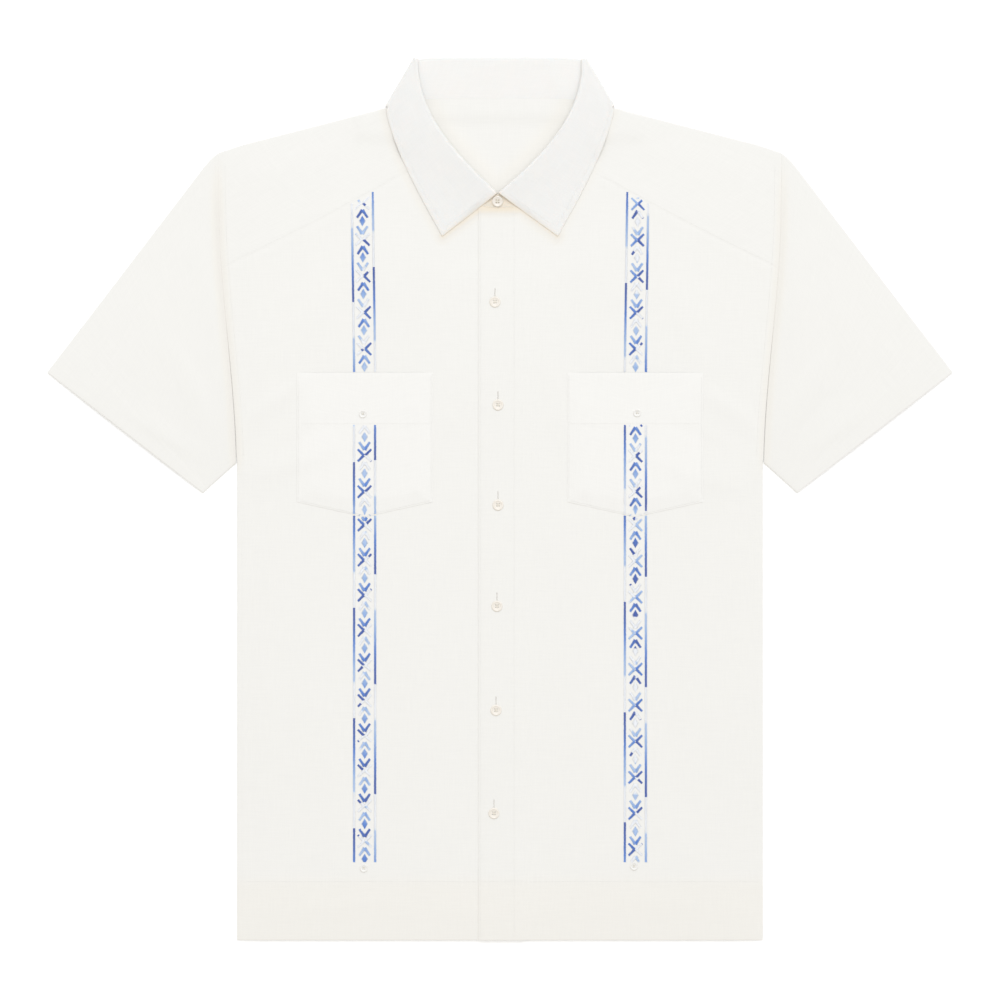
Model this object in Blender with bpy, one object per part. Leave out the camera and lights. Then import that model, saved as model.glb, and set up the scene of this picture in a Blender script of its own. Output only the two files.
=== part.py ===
"""A short-sleeved guayabera shirt, laid flat on its back.

The front faces +Z, the collar points to +Y, and the wearer's left is on +X. Each cut piece is
one closed wall of cloth. It is made as a grid of points along the middle of its wall, and a
Solidify modifier gives it its thickness. Layers lie on each other one PITCH apart, and seams
leave a GAP. Plan points are (x, y), and a level function gives the height above them.
"""

from collections import namedtuple
from math import cos, pi, radians, sin, sqrt

import bmesh
import bpy
import numpy as np

MM = 0.001

# Cloth
WALL = 1.2 * MM
GAP = 0.3 * MM
PITCH = WALL + GAP

# The middle of each layer's wall, from the floor up
LOW = WALL / 2
MID = LOW + PITCH
HIGH = MID + PITCH

# Body
CHEST_HALF = 252.5 * MM
HEM_Y = -424 * MM
ARMPIT_Y = 34 * MM
SHOULDER_HALF = 270.7 * MM
ARMHOLE_TURN = 1.25  # the armhole has done its bend by 1 / 1.25 of the way up to the shoulder
ARMHOLE_BEND = 0.7  # and the rest of its way outwards is straight
LEFT_LAP = 21 * MM  # how far the left front laps past the centre
RIGHT_LAP = 17 * MM  # and how far the right front reaches under it
LAP_RAMP = (19 * MM, 28 * MM)  # where the left front comes down beside the lap

# Neck and shoulders
NECK_Y = 378 * MM  # the side neck points, level with the centre of the front neckline's arc
NECK_RADIUS = 99 * MM
BACK_NECK_Y = 385.4 * MM
NECK_CURVE = 6  # the back neckline is straight in the middle and drops at its ends
SHOULDER_SLOPE = 0.2575
SHOULDER_ROUND_X = 240 * MM
SHOULDER_ROUND_DROP = 2.1 * MM

# Yoke
BACK_YOKE_Y = 268 * MM
YOKE_NECK_X = 80 * MM  # where the front seam starts on the neckline
YOKE_ARM_Y = 221 * MM  # where it ends on the armhole
YOKE_SAG = 3 * MM
LEVEL_Y = 350 * MM  # the yoke is level up to here, a little below its rise
FRONT_NECK_X = 72 * MM  # the last column of a front panel before the one at the yoke's corner

# Sleeves
CAP_TURN = (275.7 * MM, 329.4 * MM)
CAP_END = (288 * MM, 313.4 * MM)
SLEEVE_TIP = (434.9 * MM, 121.4 * MM)
CUFF_UNDER = (285 * MM, 5.3 * MM)
CAP_SHARE = 0.2  # the part of the rows that the rounded cap takes

# The yoke and what lies on it rise where the back of the collar lies under them.
RISE_Y = (356 * MM, 371 * MM)
RISE_X = (113 * MM, 126 * MM)
RISE_LEAD = 18 * MM  # each layer starts to rise this far before the one below it

# Collar
COLLAR_TOP_Y = 423.8 * MM
COLLAR_CORNER_X = 82.6 * MM
LEAF_SIDE = (109.4 * MM, 378.5 * MM)  # where a leaf's outer edge passes over the shoulder
LEAF_START = (110 * MM, 376 * MM)  # the top of a leaf's outer edge, on the shoulder
LEAF_POINT = (55.5 * MM, 251.4 * MM)
LEAF_TURN = 0.1  # the part of a leaf in which its edge comes round from the side fold
LEAF_SWELL = 5.5 * MM  # how far the edge swells out between its start and its point
LEAF_SWELL_CURVE = 0.74  # below 1, it swells most nearer its start
LEAF_BACK_Y = 376 * MM
MEETING = (-1.9 * MM, 293.3 * MM)  # the leaves meet just beside the centre
ROLL_HANDLES = ((80 * MM, 366 * MM), (36.6 * MM, 325.3 * MM))
ROLL_TURN = 0.15  # the part of a leaf in which the roll turns from the side fold's line to its own
ROUND_BACK = 4  # how late the collar turns from its straight back into the side folds
NECK_BLEND = 1 / 3  # the part of a leaf in which the band comes round to the neckline's arc
NECK_SPACING = 1.7
SIDE_OUT = np.array((0.882, 0.471, 0.0))  # outwards from the collar's side folds
SIDE_UP = np.array((-0.471, 0.882, 0.0))  # along those folds, away from the neck
UP = np.array((0.0, 0.0, 1.0))
STAND_NECK = (97.6 * MM, 378.4 * MM)  # the band's side fold at the neck seam
FOLD_LEVEL = 5.05 * MM  # the middle of the side folds at the top of the collar
STAND_FOLD = 0.95 * MM  # the radius of the band's side fold there
FALL_FOLD = 4.45 * MM  # and of the fall's
BACK_CREST = 7 * MM  # height of the band's top edge at the back
FRONT_CREST = 8.5 * MM  # and half way along a leaf
LEAF_LEVEL = 12.5 * MM  # height of the leaf where it leaves the roll, half way along
MEETING_LEVEL = 9 * MM  # and where the leaves meet
LEAF_SAG = 1.6 * MM  # how far a leaf sags between roll and edge, along its front edge
SAG_FROM = 0.4  # the part of a leaf, from the side fold, that doesn't sag
STAND_TAB_HEIGHT = 11.4 * MM
STAND_TAB_ROUND = 0.7
STAND_TAB_CURVE = 2.2

# The two halves of the collar. Side is +1 for the wearer's left.
Half = namedtuple("Half", "side tab_reach crest_level crest_rise neck_level")
LEFT_HALF = Half(1, 16 * MM, 6.1 * MM, 2.5 * MM, HIGH)
RIGHT_HALF = Half(-1, 12 * MM, 4.0 * MM, 1.9 * MM, MID)

# Pockets
POCKET_X = 129.8 * MM
POCKET_TOP = 120.5 * MM
POCKET_HALF = 65.3 * MM
POCKET_SIDE_Y = -3.4 * MM
POCKET_POINT_Y = -17.8 * MM

# Buttons
FRONT_BUTTON = 10.6 * MM
SMALL_BUTTON = 7.6 * MM
BUTTON_THICK = 2.2 * MM
BUTTON_SIDES = 18

Spot = namedtuple("Spot", "name x y across level tilt", defaults=(0,))
BUTTONS = (
    Spot("button_1", -4.8 * MM, 188.6 * MM, FRONT_BUTTON, HIGH),
    Spot("button_2", -1.9 * MM, 89.8 * MM, FRONT_BUTTON, HIGH),
    Spot("button_3", -1.9 * MM, -6.2 * MM, FRONT_BUTTON, HIGH),
    Spot("button_4", -2.9 * MM, -103.2 * MM, FRONT_BUTTON, HIGH),
    Spot("button_5", -3.8 * MM, -203.0 * MM, FRONT_BUTTON, HIGH),
    Spot("button_6", -5.8 * MM, -301.9 * MM, FRONT_BUTTON, HIGH),
    Spot("button_collar", -2.4 * MM, 285.4 * MM, FRONT_BUTTON, HIGH + 1.5 * MM, radians(12)),
    Spot("button_pocket_left", 131.5 * MM, 82.1 * MM, SMALL_BUTTON, HIGH),
    Spot("button_pocket_right", -131.5 * MM, 81.1 * MM, SMALL_BUTTON, HIGH),
    Spot("button_band_left", 128.6 * MM, -352.8 * MM, SMALL_BUTTON, MID),
    Spot("button_band_right", -130.6 * MM, -354.7 * MM, SMALL_BUTTON, MID),
)

# A button's turned profile, as shares of its radius and thickness
Ring = namedtuple("Ring", "radius height")
BUTTON_RINGS = (
    Ring(0.80, 0.0),
    Ring(1.00, 0.35),
    Ring(0.97, 0.80),
    Ring(0.84, 1.00),
    Ring(0.68, 0.92),
    Ring(0.58, 0.68),
)


# Small tools


def smooth(t):
    """0 below 0, 1 above 1, and a soft step between."""
    t = np.clip(t, 0, 1)
    return t * t * (3 - 2 * t)


def lerp(a, b, t):
    return np.asarray(a) + (np.asarray(b) - np.asarray(a)) * t


def unit(vector):
    return vector / np.linalg.norm(vector)


def through_three(first, middle, last, t):
    """The parabola through three values at t = 0, 0.5 and 1."""
    return first * (1 - t) * (1 - 2 * t) + middle * 4 * t * (1 - t) + last * t * (2 * t - 1)


def bezier(a, b, c, d, t):
    """A point on a cubic curve, and its direction there."""
    a, b, c, d = map(np.asarray, (a, b, c, d))
    point = a * (1 - t) ** 3 + 3 * b * t * (1 - t) ** 2 + 3 * c * t**2 * (1 - t) + d * t**3
    along = (b - a) * (1 - t) ** 2 + 2 * (c - b) * t * (1 - t) + (d - c) * t**2
    return point, unit(along)


def stops(places, steps):
    """Stops from the first place to the last, with a number of even steps between each two."""
    made = [places[0]]
    for first, last, count in zip(places, places[1:], steps):
        made.extend(np.linspace(first, last, count + 1)[1:])
    return made


def patch(lower, upper, left, right):
    """Plan points between four edges that share their corners: rows run from lower to upper."""
    lower, upper, left, right = map(np.asarray, (lower, upper, left, right))
    v = np.linspace(0, 1, len(left))[:, None, None]
    u = np.linspace(0, 1, len(lower))[None, :, None]
    across = (1 - v) * lower[None] + v * upper[None]
    along = (1 - u) * left[:, None] + u * right[:, None]
    low_corners = (1 - v) * ((1 - u) * lower[0] + u * lower[-1])
    high_corners = v * ((1 - u) * upper[0] + u * upper[-1])
    return across + along - low_corners - high_corners


def ending_at(edge, first, last):
    """An edge moved so that it starts and ends at two given points."""
    edge = np.asarray(edge)
    t = np.linspace(0, 1, len(edge))[:, None]
    return edge + (1 - t) * (np.asarray(first) - edge[0]) + t * (np.asarray(last) - edge[-1])


def lifted(plan, level):
    """Plan points with their heights."""
    z = level(plan[..., 0], plan[..., 1])
    return np.concatenate([plan, np.broadcast_to(z, plan.shape[:-1])[..., None]], axis=-1)


def mirrored(grid, side):
    """The grid on the wearer's left for side +1, and on the right for -1."""
    grid = np.array(grid, float)
    grid[..., 0] *= side
    return grid


# The garment's lines


def armhole_x(y):
    """The armhole seam, from the armpit up to the shoulder."""
    t = np.clip((y - ARMPIT_Y) / (shoulder_y(SHOULDER_HALF) - ARMPIT_Y), 0, 1)
    share = lerp(t, smooth(ARMHOLE_TURN * t), ARMHOLE_BEND)
    return CHEST_HALF + (SHOULDER_HALF - CHEST_HALF) * share


def shoulder_y(x):
    """The outline of the shoulder, from the side neck point to the sleeve."""
    straight = NECK_Y - SHOULDER_SLOPE * (x - NECK_RADIUS)
    turn = (x - SHOULDER_ROUND_X) / (SHOULDER_HALF - SHOULDER_ROUND_X)
    return straight - SHOULDER_ROUND_DROP * max(turn, 0) ** 2


def neckline_y(x, radius):
    """The front neckline, an arc round the middle of the neck."""
    return NECK_Y - sqrt(radius**2 - x**2)


def yoke_seam(t, shift=0.0):
    """The slanting front seam: t runs from the neckline to the armhole."""
    inner = (YOKE_NECK_X, neckline_y(YOKE_NECK_X, NECK_RADIUS + GAP))
    outer = (armhole_x(YOKE_ARM_Y) - GAP / 2, YOKE_ARM_Y)
    point = lerp(inner, outer, t)
    point[1] += shift - YOKE_SAG * 4 * t * (1 - t)
    return point


def rise(x, y, layer):
    """How far a layer is lifted by the part of the collar that lies under the yoke."""
    lead = RISE_LEAD * layer
    along = smooth((y + lead - RISE_Y[0]) / (RISE_Y[1] - RISE_Y[0]))
    across = smooth((RISE_X[1] + lead - np.abs(x)) / (RISE_X[1] - RISE_X[0]))
    return PITCH * along * across


def back_level(x, y):
    return LOW + rise(x, y, 0)


def front_level(x, y):
    return MID + rise(x, y, 1)


def lapped_level(x, y):
    """The left front, which lies on the right front at the centre."""
    lap = smooth((LAP_RAMP[1] - x) / (LAP_RAMP[1] - LAP_RAMP[0]))
    return front_level(x, y) + PITCH * lap


# Making objects


def material(name, colour, roughness):
    made = bpy.data.materials.new(name)
    made.use_nodes = True
    shader = made.node_tree.nodes["Principled BSDF"]
    shader.inputs["Base Color"].default_value = (*colour, 1.0)
    shader.inputs["Roughness"].default_value = roughness
    shader.inputs["Metallic"].default_value = 0.0
    made.diffuse_color = (*colour, 1.0)
    return made


def add_object(name, mesh, surface, place=(0, 0, 0)):
    made = bpy.data.objects.new(name, mesh)
    made.location = place
    made.parent = bpy.data.objects["shirt"]
    made.data.materials.clear()
    made.data.materials.append(surface)
    bpy.context.scene.collection.objects.link(made)
    return made


def cloth(name, grid, surface, missing=None, tube=False, place=(0, 0, 0)):
    """A wall of cloth round a grid of points. missing(row, column) leaves out a cell."""
    grid = np.asarray(grid)
    rows, columns = grid.shape[:2]
    cells = []
    for i in range(rows - 1):
        below, above = i * columns, (i + 1) * columns
        for j in range(columns if tube else columns - 1):
            k = (j + 1) % columns
            if missing is None or not missing(i, j):
                cells.append((below + j, below + k, above + k, above + j))
    used = sorted({corner for cell in cells for corner in cell})
    number = {old: new for new, old in enumerate(used)}
    points = grid.reshape(-1, 3)[used]
    mesh = bpy.data.meshes.new(name)
    mesh.from_pydata(points.tolist(), [], [[number[c] for c in cell] for cell in cells])
    mesh.shade_smooth()
    made = add_object(name, mesh, surface, place)
    wall = made.modifiers.new("wall", "SOLIDIFY")
    wall.thickness = WALL
    wall.offset = 0
    wall.use_rim = True
    return made


# The pieces


def back(surface):
    rows = np.linspace(HEM_Y, BACK_YOKE_Y, 14)
    half = np.linspace(-1, 1, 11)
    right = [(armhole_x(y) - GAP / 2, y) for y in rows]
    left = [(-x, y) for x, y in right]
    lower = [(u * right[0][0], HEM_Y) for u in half]
    upper = [(u * right[-1][0], BACK_YOKE_Y) for u in half]
    cloth("back", lifted(patch(lower, upper, left, right), back_level), surface)


def front(name, side, lap, level, surface):
    """A front panel, built on +X and mirrored. lap is how far it reaches past the centre."""
    near = stops((-lap, *LAP_RAMP, FRONT_NECK_X), (5, 2, 5))
    across = np.linspace(0, 1, 9)
    beside = lerp(YOKE_NECK_X, CHEST_HALF - GAP / 2, across)
    lower = [(x, HEM_Y) for x in (*near, *beside)]
    upper = [(x, neckline_y(x, NECK_RADIUS + GAP) - GAP / 2) for x in near]
    upper += [yoke_seam(share, -GAP / 2) for share in across]
    rows = np.linspace(0, 1, 15)
    left = [lerp(lower[0], upper[0], r) for r in rows]
    heights = [lerp(HEM_Y, upper[-1][1], r) for r in rows]
    right = ending_at([(armhole_x(y) - GAP / 2, y) for y in heights], lower[-1], upper[-1])
    grid = lifted(patch(lower, upper, left, right), level)
    cloth(name, mirrored(grid, side), surface)


def shoulder_fold(x):
    """The middle of the fold over the shoulder: its point, its outward direction and its radius."""
    slope = (shoulder_y(x + MM) - shoulder_y(x - MM)) / (2 * MM)
    outward = unit(np.array((-slope, 1.0)))
    y = shoulder_y(x)
    low, high = back_level(x, y), front_level(x, y)
    radius = (high - low) / 2
    point = np.array((x, y)) - outward * (radius + WALL / 2)
    return np.append(point, (high + low) / 2), np.append(outward, 0.0), radius


def yoke_columns():
    """The shoulder's columns: x on its outline, and the share of the way from neck to armhole."""
    start = NECK_RADIUS + GAP
    end = SHOULDER_HALF - GAP / 2
    places = np.array(stops((start, *RISE_X, end), (1, 1, 6)))
    return places, (places - start) / (end - start)


def armhole_edge(first, last, count):
    """Points down the yoke's edge at the armhole, between two given corners."""
    heights = np.linspace(first[1], last[1], count)
    return ending_at([(armhole_x(y) - GAP / 2, y) for y in heights], first, last)


def yoke_back(crest, shares):
    """The layer under a shoulder, from the seam with the back up to the shoulder's fold."""
    rows = stops((BACK_YOKE_Y, LEVEL_Y, *RISE_Y, crest[0][1]), (2, 1, 3, 1))
    neck_edge = [(crest[0][0], y) for y in rows]
    foot = (armhole_x(BACK_YOKE_Y) - GAP / 2, BACK_YOKE_Y)
    seam = [lerp(neck_edge[0], foot, share) for share in shares]
    arm_edge = armhole_edge(foot, crest[-1], len(rows))
    return lifted(patch(seam, crest, neck_edge, arm_edge), back_level)


def yoke_front(crest, shares):
    """The layer on top of a shoulder, from its fold down to the slanting seam with the front."""
    seam = [yoke_seam(share, GAP / 2) for share in shares]
    low, high = np.array(RISE_Y) - RISE_LEAD
    rows = stops((RISE_Y[1], high, low, seam[0][1]), (2, 2, 2))[:-1]
    neck_edge = [(sqrt((NECK_RADIUS + GAP) ** 2 - (NECK_Y - y) ** 2), y) for y in rows]
    neck_edge = [crest[0], *neck_edge, seam[0]]
    arm_edge = armhole_edge(crest[-1], seam[-1], len(neck_edge))
    return lifted(patch(crest, seam, neck_edge, arm_edge), front_level)


def yoke(surface):
    """The back yoke, its folds over the shoulders, and its two front ends, as one piece."""
    places, shares = yoke_columns()
    folds = [shoulder_fold(x) for x in places]
    crest = [point[:2] for point, _, _ in folds]
    under, over = yoke_back(crest, shares), yoke_front(crest, shares)
    turn = []
    for angle in np.linspace(-pi / 2, pi / 2, 7):
        turn.append([point + r * (out * cos(angle) + UP * sin(angle)) for point, out, r in folds])
    left = np.concatenate([under[:-1], turn, over[1:]])
    right = mirrored(left, -1)[:, ::-1]

    # Between the shoulders, up to the back neckline
    reach, foot = crest[0]
    middle = np.linspace(-reach, reach, 13)
    drop = BACK_NECK_Y - GAP - foot
    neckline = [(x, BACK_NECK_Y - GAP - drop * abs(x / reach) ** NECK_CURVE) for x in middle]
    seam = [(x, BACK_YOKE_Y) for x in middle]
    sides = under[:, 0, :2]
    centre = lifted(patch(seam, neckline, sides * (-1, 1), sides), back_level)[:, 1:-1]

    # The rows beyond the neckline have no cells between the shoulders.
    neck_row = len(centre) - 1
    spare = np.repeat(centre[-1:], len(left) - len(centre), axis=0)
    centre = np.concatenate([centre, spare])
    opening = range(len(places) - 1, len(places) + len(middle) - 2)
    grid = np.concatenate([right, centre, left], axis=1)
    cloth("yoke", grid, surface, missing=lambda i, j: i >= neck_row and j in opening)


def sleeve_top(s):
    """The outline of the sleeve's upper fold, from the shoulder to the tip of the cuff."""
    start = np.array((SHOULDER_HALF + GAP / 2, shoulder_y(SHOULDER_HALF)))
    if s > CAP_SHARE:
        return lerp(CAP_END, SLEEVE_TIP, (s - CAP_SHARE) / (1 - CAP_SHARE))
    t = s / CAP_SHARE
    return start * (1 - t) ** 2 + 2 * t * (1 - t) * np.array(CAP_TURN) + t**2 * np.array(CAP_END)


def sleeve(name, side, surface):
    """A flattened tube: each row is a ring that runs over the top layer and back underneath."""
    along = np.linspace(0, 1, 16)
    across = np.linspace(0, 1, 11)
    top = [sleeve_top(s) for s in along]
    armpit = (CHEST_HALF + GAP + WALL / 2, ARMPIT_Y)  # its fold leans in by half a wall
    under = [lerp(armpit, CUFF_UNDER, s) for s in along]
    heights = lerp(top[0][1], ARMPIT_Y, across)
    armhole = ending_at([(armhole_x(y) + GAP / 2, y) for y in heights], top[0], armpit)
    cuff = [lerp(SLEEVE_TIP, CUFF_UNDER, t) for t in across]
    plan = patch(top, under, armhole, cuff).transpose(1, 0, 2)
    radius = PITCH / 2
    middle = (LOW + MID) / 2
    turn = np.linspace(-pi / 2, pi / 2, 6)
    rings = []
    for row in plan:
        upper = np.append(unit(row[0] - row[1]), 0)
        lower = np.append(unit(row[-1] - row[-2]), 0)
        first = np.append(row[0], middle) - upper * (radius + WALL / 2)
        last = np.append(row[-1], middle) - lower * (radius + WALL / 2)
        inside = [np.append(point, middle) for point in row[1:-1]]
        ring = [point + UP * radius for point in inside]
        ring += [last + radius * (lower * cos(a) + UP * sin(a)) for a in turn[::-1]]
        ring += [point - UP * radius for point in reversed(inside)]
        ring += [first + radius * (upper * cos(a) + UP * sin(a)) for a in turn]
        rings.append(ring)
    cloth(name, mirrored(rings, side), surface, tube=True)


def pocket(name, side, surface):
    """A patch pocket with a shallow point, built about its own middle and placed."""
    u = np.linspace(-1, 1, 9)
    upper = [(POCKET_HALF * share, POCKET_TOP) for share in u]
    lower = [(POCKET_HALF * share, lerp(POCKET_POINT_Y, POCKET_SIDE_Y, abs(share))) for share in u]
    rows = np.linspace(0, 1, 4)
    left = [lerp(lower[0], upper[0], r) for r in rows]
    right = [lerp(lower[-1], upper[-1], r) for r in rows]
    grid = lifted(patch(lower, upper, left, right), lambda x, y: HIGH + 0 * x)
    cloth(name, grid, surface, place=(side * POCKET_X, 0, 0))


# A place along the collar, in the middle of its walls: the band runs from neck to crest, and the
# fall turns over the crest in a roll and ends at edge. radial points from the band to the fall,
# bulge points out of the roll, and sag is how far the fall sags between the roll and its edge.
Station = namedtuple("Station", "neck crest radial bulge roll edge sag", defaults=(0.0,))


def side_folds():
    """The axes of the two nested side folds, each from its lower to its upper end."""
    corner = np.array((COLLAR_CORNER_X, COLLAR_TOP_Y, 0))
    roll = (FALL_FOLD - STAND_FOLD) / 2
    top = corner - SIDE_OUT * (FALL_FOLD + WALL / 2) - SIDE_UP * (roll + WALL / 2 + GAP)
    top[2] = FOLD_LEVEL
    neck = np.array((*STAND_NECK, (MID + HIGH) / 2))
    low_fold = (HIGH + PITCH - LOW) / 2
    edge = np.array((*LEAF_SIDE, 0)) - SIDE_OUT * (low_fold + WALL / 2)
    edge[2] = LOW + low_fold
    return neck, top, edge, low_fold


def back_stations():
    """From the centre back to the side fold."""
    neck_end, crest_end, edge_end, _ = side_folds()
    made = []
    for b in np.linspace(0, 1, 8):
        x = b * neck_end[0]
        y = BACK_NECK_Y - (BACK_NECK_Y - neck_end[1]) * b**NECK_CURVE
        crest_level = lerp(BACK_CREST, FOLD_LEVEL - STAND_FOLD, b**3)
        roll = (crest_level - LOW) / 2
        bulge = unit(lerp((0, 1, 0), SIDE_UP, b**ROUND_BACK))
        level_top = COLLAR_TOP_Y - (roll + WALL / 2 + GAP)
        crest_y = lerp(level_top, crest_end[1], b**ROUND_BACK)
        crest = np.array((b * crest_end[0], crest_y, crest_level))
        edge = np.array((b * edge_end[0], lerp(LEAF_BACK_Y, edge_end[1], b), LOW))
        made.append(Station(np.array((x, y, MID)), crest, -UP, bulge, roll, edge))
    return made


def fold_stations():
    """Round the side fold, from its underside to its top, without its two ends."""
    neck, crest, edge, low_fold = side_folds()
    made = []
    for angle in np.linspace(-pi / 2, pi / 2, 7)[1:-1]:
        radial = SIDE_OUT * cos(angle) + UP * sin(angle)
        roll = (FALL_FOLD - STAND_FOLD) / 2
        place = (neck + radial * PITCH / 2, crest + radial * STAND_FOLD)
        made.append(Station(*place, radial, SIDE_UP, roll, edge + radial * low_fold))
    return made


def front_stations(half):
    """From the side fold to where the leaves meet, along one leaf."""
    neck_axis, crest_axis, edge_axis, low_fold = side_folds()
    start = crest_axis[:2] + SIDE_UP[:2] * ((FALL_FOLD - STAND_FOLD) / 2 + WALL / 2 + GAP)
    end = np.array((half.side * MEETING[0] + GAP, MEETING[1]))
    pull = edge_axis[:2] - np.array(LEAF_START)
    down = unit(np.subtract(LEAF_POINT, LEAF_START))
    aside = np.array((-down[1], down[0]))
    made = []
    for u in np.linspace(0, 1, 14):
        outline, along = bezier(start, *ROLL_HANDLES, end, u)
        inward = np.array((along[1], -along[0], 0))
        bulge = unit(lerp(SIDE_UP, inward, smooth(u / ROLL_TURN)))
        crest_level = through_three(FOLD_LEVEL + STAND_FOLD, FRONT_CREST, half.crest_level, u)
        leaf_level = through_three(FOLD_LEVEL + FALL_FOLD, LEAF_LEVEL, MEETING_LEVEL, u)
        roll = (leaf_level - crest_level) / 2
        crest = np.append(outline, 0) - bulge * (roll + WALL / 2 + GAP)
        crest[2] = crest_level
        neck = neck_point(u, end[0])
        level = lapped_level(*neck) if half.side > 0 else front_level(*neck)
        swell = LEAF_SWELL * sin(pi * u**LEAF_SWELL_CURVE)
        edge = lerp(LEAF_START, LEAF_POINT, u) + pull * max(0, 1 - u / LEAF_TURN) ** 2 + swell * aside
        edge = np.append(edge, HIGH + rise(*edge, 2))
        sag = LEAF_SAG * smooth((u - SAG_FROM) / (1 - SAG_FROM))
        made.append(Station(np.append(neck, level), crest, UP, bulge, roll, edge, sag))
    return made


def neck_point(u, end_x):
    """The front neckline under a leaf, from the side fold to the centre."""
    blend = smooth(u / NECK_BLEND)
    radius = lerp(STAND_NECK[0], NECK_RADIUS - GAP, blend)
    last = np.arccos(end_x / radius)
    angle = last * u**NECK_SPACING
    drop = (STAND_NECK[1] - NECK_Y) * (1 - blend)
    return np.array((radius * cos(angle), NECK_Y + drop - radius * sin(angle)))


def tab_stations(half, last):
    """The rounded end of the band, which reaches past the centre."""
    made = []
    for e in np.linspace(0, 1, 5)[1:]:
        x = lerp(last.neck[0], -half.tab_reach, e)
        crest_x = lerp(last.crest[0], -half.tab_reach, e)
        share = 1 - STAND_TAB_ROUND * e**STAND_TAB_CURVE
        y = neckline_y(x, NECK_RADIUS - GAP)
        neck = np.array((x, y, half.neck_level))
        rise_here = half.crest_rise * share**2
        crest = np.array((crest_x, y + STAND_TAB_HEIGHT * share, half.neck_level + rise_here))
        made.append(last._replace(neck=neck, crest=crest))
    return made


def stand_row(station):
    return [lerp(station.neck, station.crest, v) for v in np.linspace(0, 1, 5)]


def fall_row(station):
    """Over the roll and down to the outer edge."""
    start = station.crest + station.bulge * GAP
    centre = start + station.radial * station.roll
    row = []
    for angle in np.linspace(0, pi, 8):
        turn = station.bulge * sin(angle) - station.radial * cos(angle)
        row.append(centre + station.roll * turn)
    turned_over = row[-1]
    for v in (0.12, 0.3, 0.5, 0.7, 0.88, 1):
        row.append(lerp(turned_over, station.edge, v) - station.sag * sin(pi * v) * UP)
    return row


def collar(surface):
    """The band and the fall, each one strip from the wearer's right round the back to the left."""
    bands, falls = [], []
    for half in (RIGHT_HALF, LEFT_HALF):
        leaf = back_stations() + fold_stations() + front_stations(half)
        band = leaf + tab_stations(half, leaf[-1])
        bands.append(mirrored([stand_row(station) for station in band], half.side))
        falls.append(mirrored([fall_row(station) for station in leaf], half.side))
    for name, (right, left) in (("collar_stand", bands), ("collar_fall", falls)):
        cloth(name, np.concatenate([right[::-1], left[1:]]), surface)


def button(spot, surface):
    """A turned disc with a raised rim and a shallow dish."""
    form = bmesh.new()
    angles = np.linspace(0, 2 * pi, BUTTON_SIDES, endpoint=False)
    rings = []
    for ring in BUTTON_RINGS:
        radius = ring.radius * spot.across / 2
        height = ring.height * BUTTON_THICK
        rings.append([form.verts.new((radius * cos(a), radius * sin(a), height)) for a in angles])
    for below, above in zip(rings, rings[1:]):
        for i in range(BUTTON_SIDES):
            k = (i + 1) % BUTTON_SIDES
            form.faces.new((below[i], below[k], above[k], above[i]))
    form.faces.new(reversed(rings[0]))
    form.faces.new(rings[-1])
    mesh = bpy.data.meshes.new(spot.name)
    form.to_mesh(mesh)
    form.free()
    mesh.shade_smooth()
    mesh.set_sharp_from_angle(angle=radians(40))
    made = add_object(spot.name, mesh, surface, (spot.x, spot.y, spot.level + WALL / 2 + GAP))
    made.rotation_euler.x = spot.tilt


def main():
    for old in list(bpy.data.objects):
        bpy.data.objects.remove(old, do_unlink=True)
    bpy.context.scene.collection.objects.link(bpy.data.objects.new("shirt", None))
    body = material("cloth", (0.905, 0.892, 0.855), 0.9)
    trim = material("collar_cloth", (0.895, 0.88, 0.845), 0.9)
    pearl = material("button", (0.86, 0.84, 0.79), 0.3)
    back(body)
    yoke(body)
    front("front_left", 1, LEFT_LAP, lapped_level, body)
    front("front_right", -1, RIGHT_LAP, front_level, body)
    sleeve("sleeve_left", 1, body)
    sleeve("sleeve_right", -1, body)
    collar(trim)
    pocket("pocket_left", 1, body)
    pocket("pocket_right", -1, body)
    for spot in BUTTONS:
        button(spot, pearl)


main()
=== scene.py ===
"""The looks of a short-sleeved guayabera shirt, laid flat on its back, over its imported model.

Metres, +Z up. The front faces +Z, the collar points to +Y, and the wearer's left is on +X.
Each cut piece is a thin closed shell of cloth round a fine grid of points, which lies where its
solid lies. Stitches, buttons and embroidery are laid on the surfaces of those shells.
"""

from collections import namedtuple
from math import cos, pi, radians, sin

import bmesh
import bpy
import numpy as np
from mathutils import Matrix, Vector, kdtree


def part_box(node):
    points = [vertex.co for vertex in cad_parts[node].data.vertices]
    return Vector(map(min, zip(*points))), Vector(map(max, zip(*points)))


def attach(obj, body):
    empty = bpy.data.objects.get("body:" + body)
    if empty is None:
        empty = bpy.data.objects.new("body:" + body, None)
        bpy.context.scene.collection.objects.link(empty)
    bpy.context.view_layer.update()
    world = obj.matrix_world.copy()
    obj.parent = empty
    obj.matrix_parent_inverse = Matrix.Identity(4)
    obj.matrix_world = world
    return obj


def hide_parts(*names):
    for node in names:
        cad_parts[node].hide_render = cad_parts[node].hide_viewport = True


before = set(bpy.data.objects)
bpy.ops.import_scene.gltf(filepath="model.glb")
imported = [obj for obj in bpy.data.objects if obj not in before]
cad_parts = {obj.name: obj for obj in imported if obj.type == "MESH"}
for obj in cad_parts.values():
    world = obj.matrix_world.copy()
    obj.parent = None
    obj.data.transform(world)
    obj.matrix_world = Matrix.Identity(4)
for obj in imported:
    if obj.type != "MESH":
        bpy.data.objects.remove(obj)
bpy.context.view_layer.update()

MM = 0.001
UP = np.array((0.0, 0.0, 1.0))
RANDOM = np.random.default_rng(7)

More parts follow.
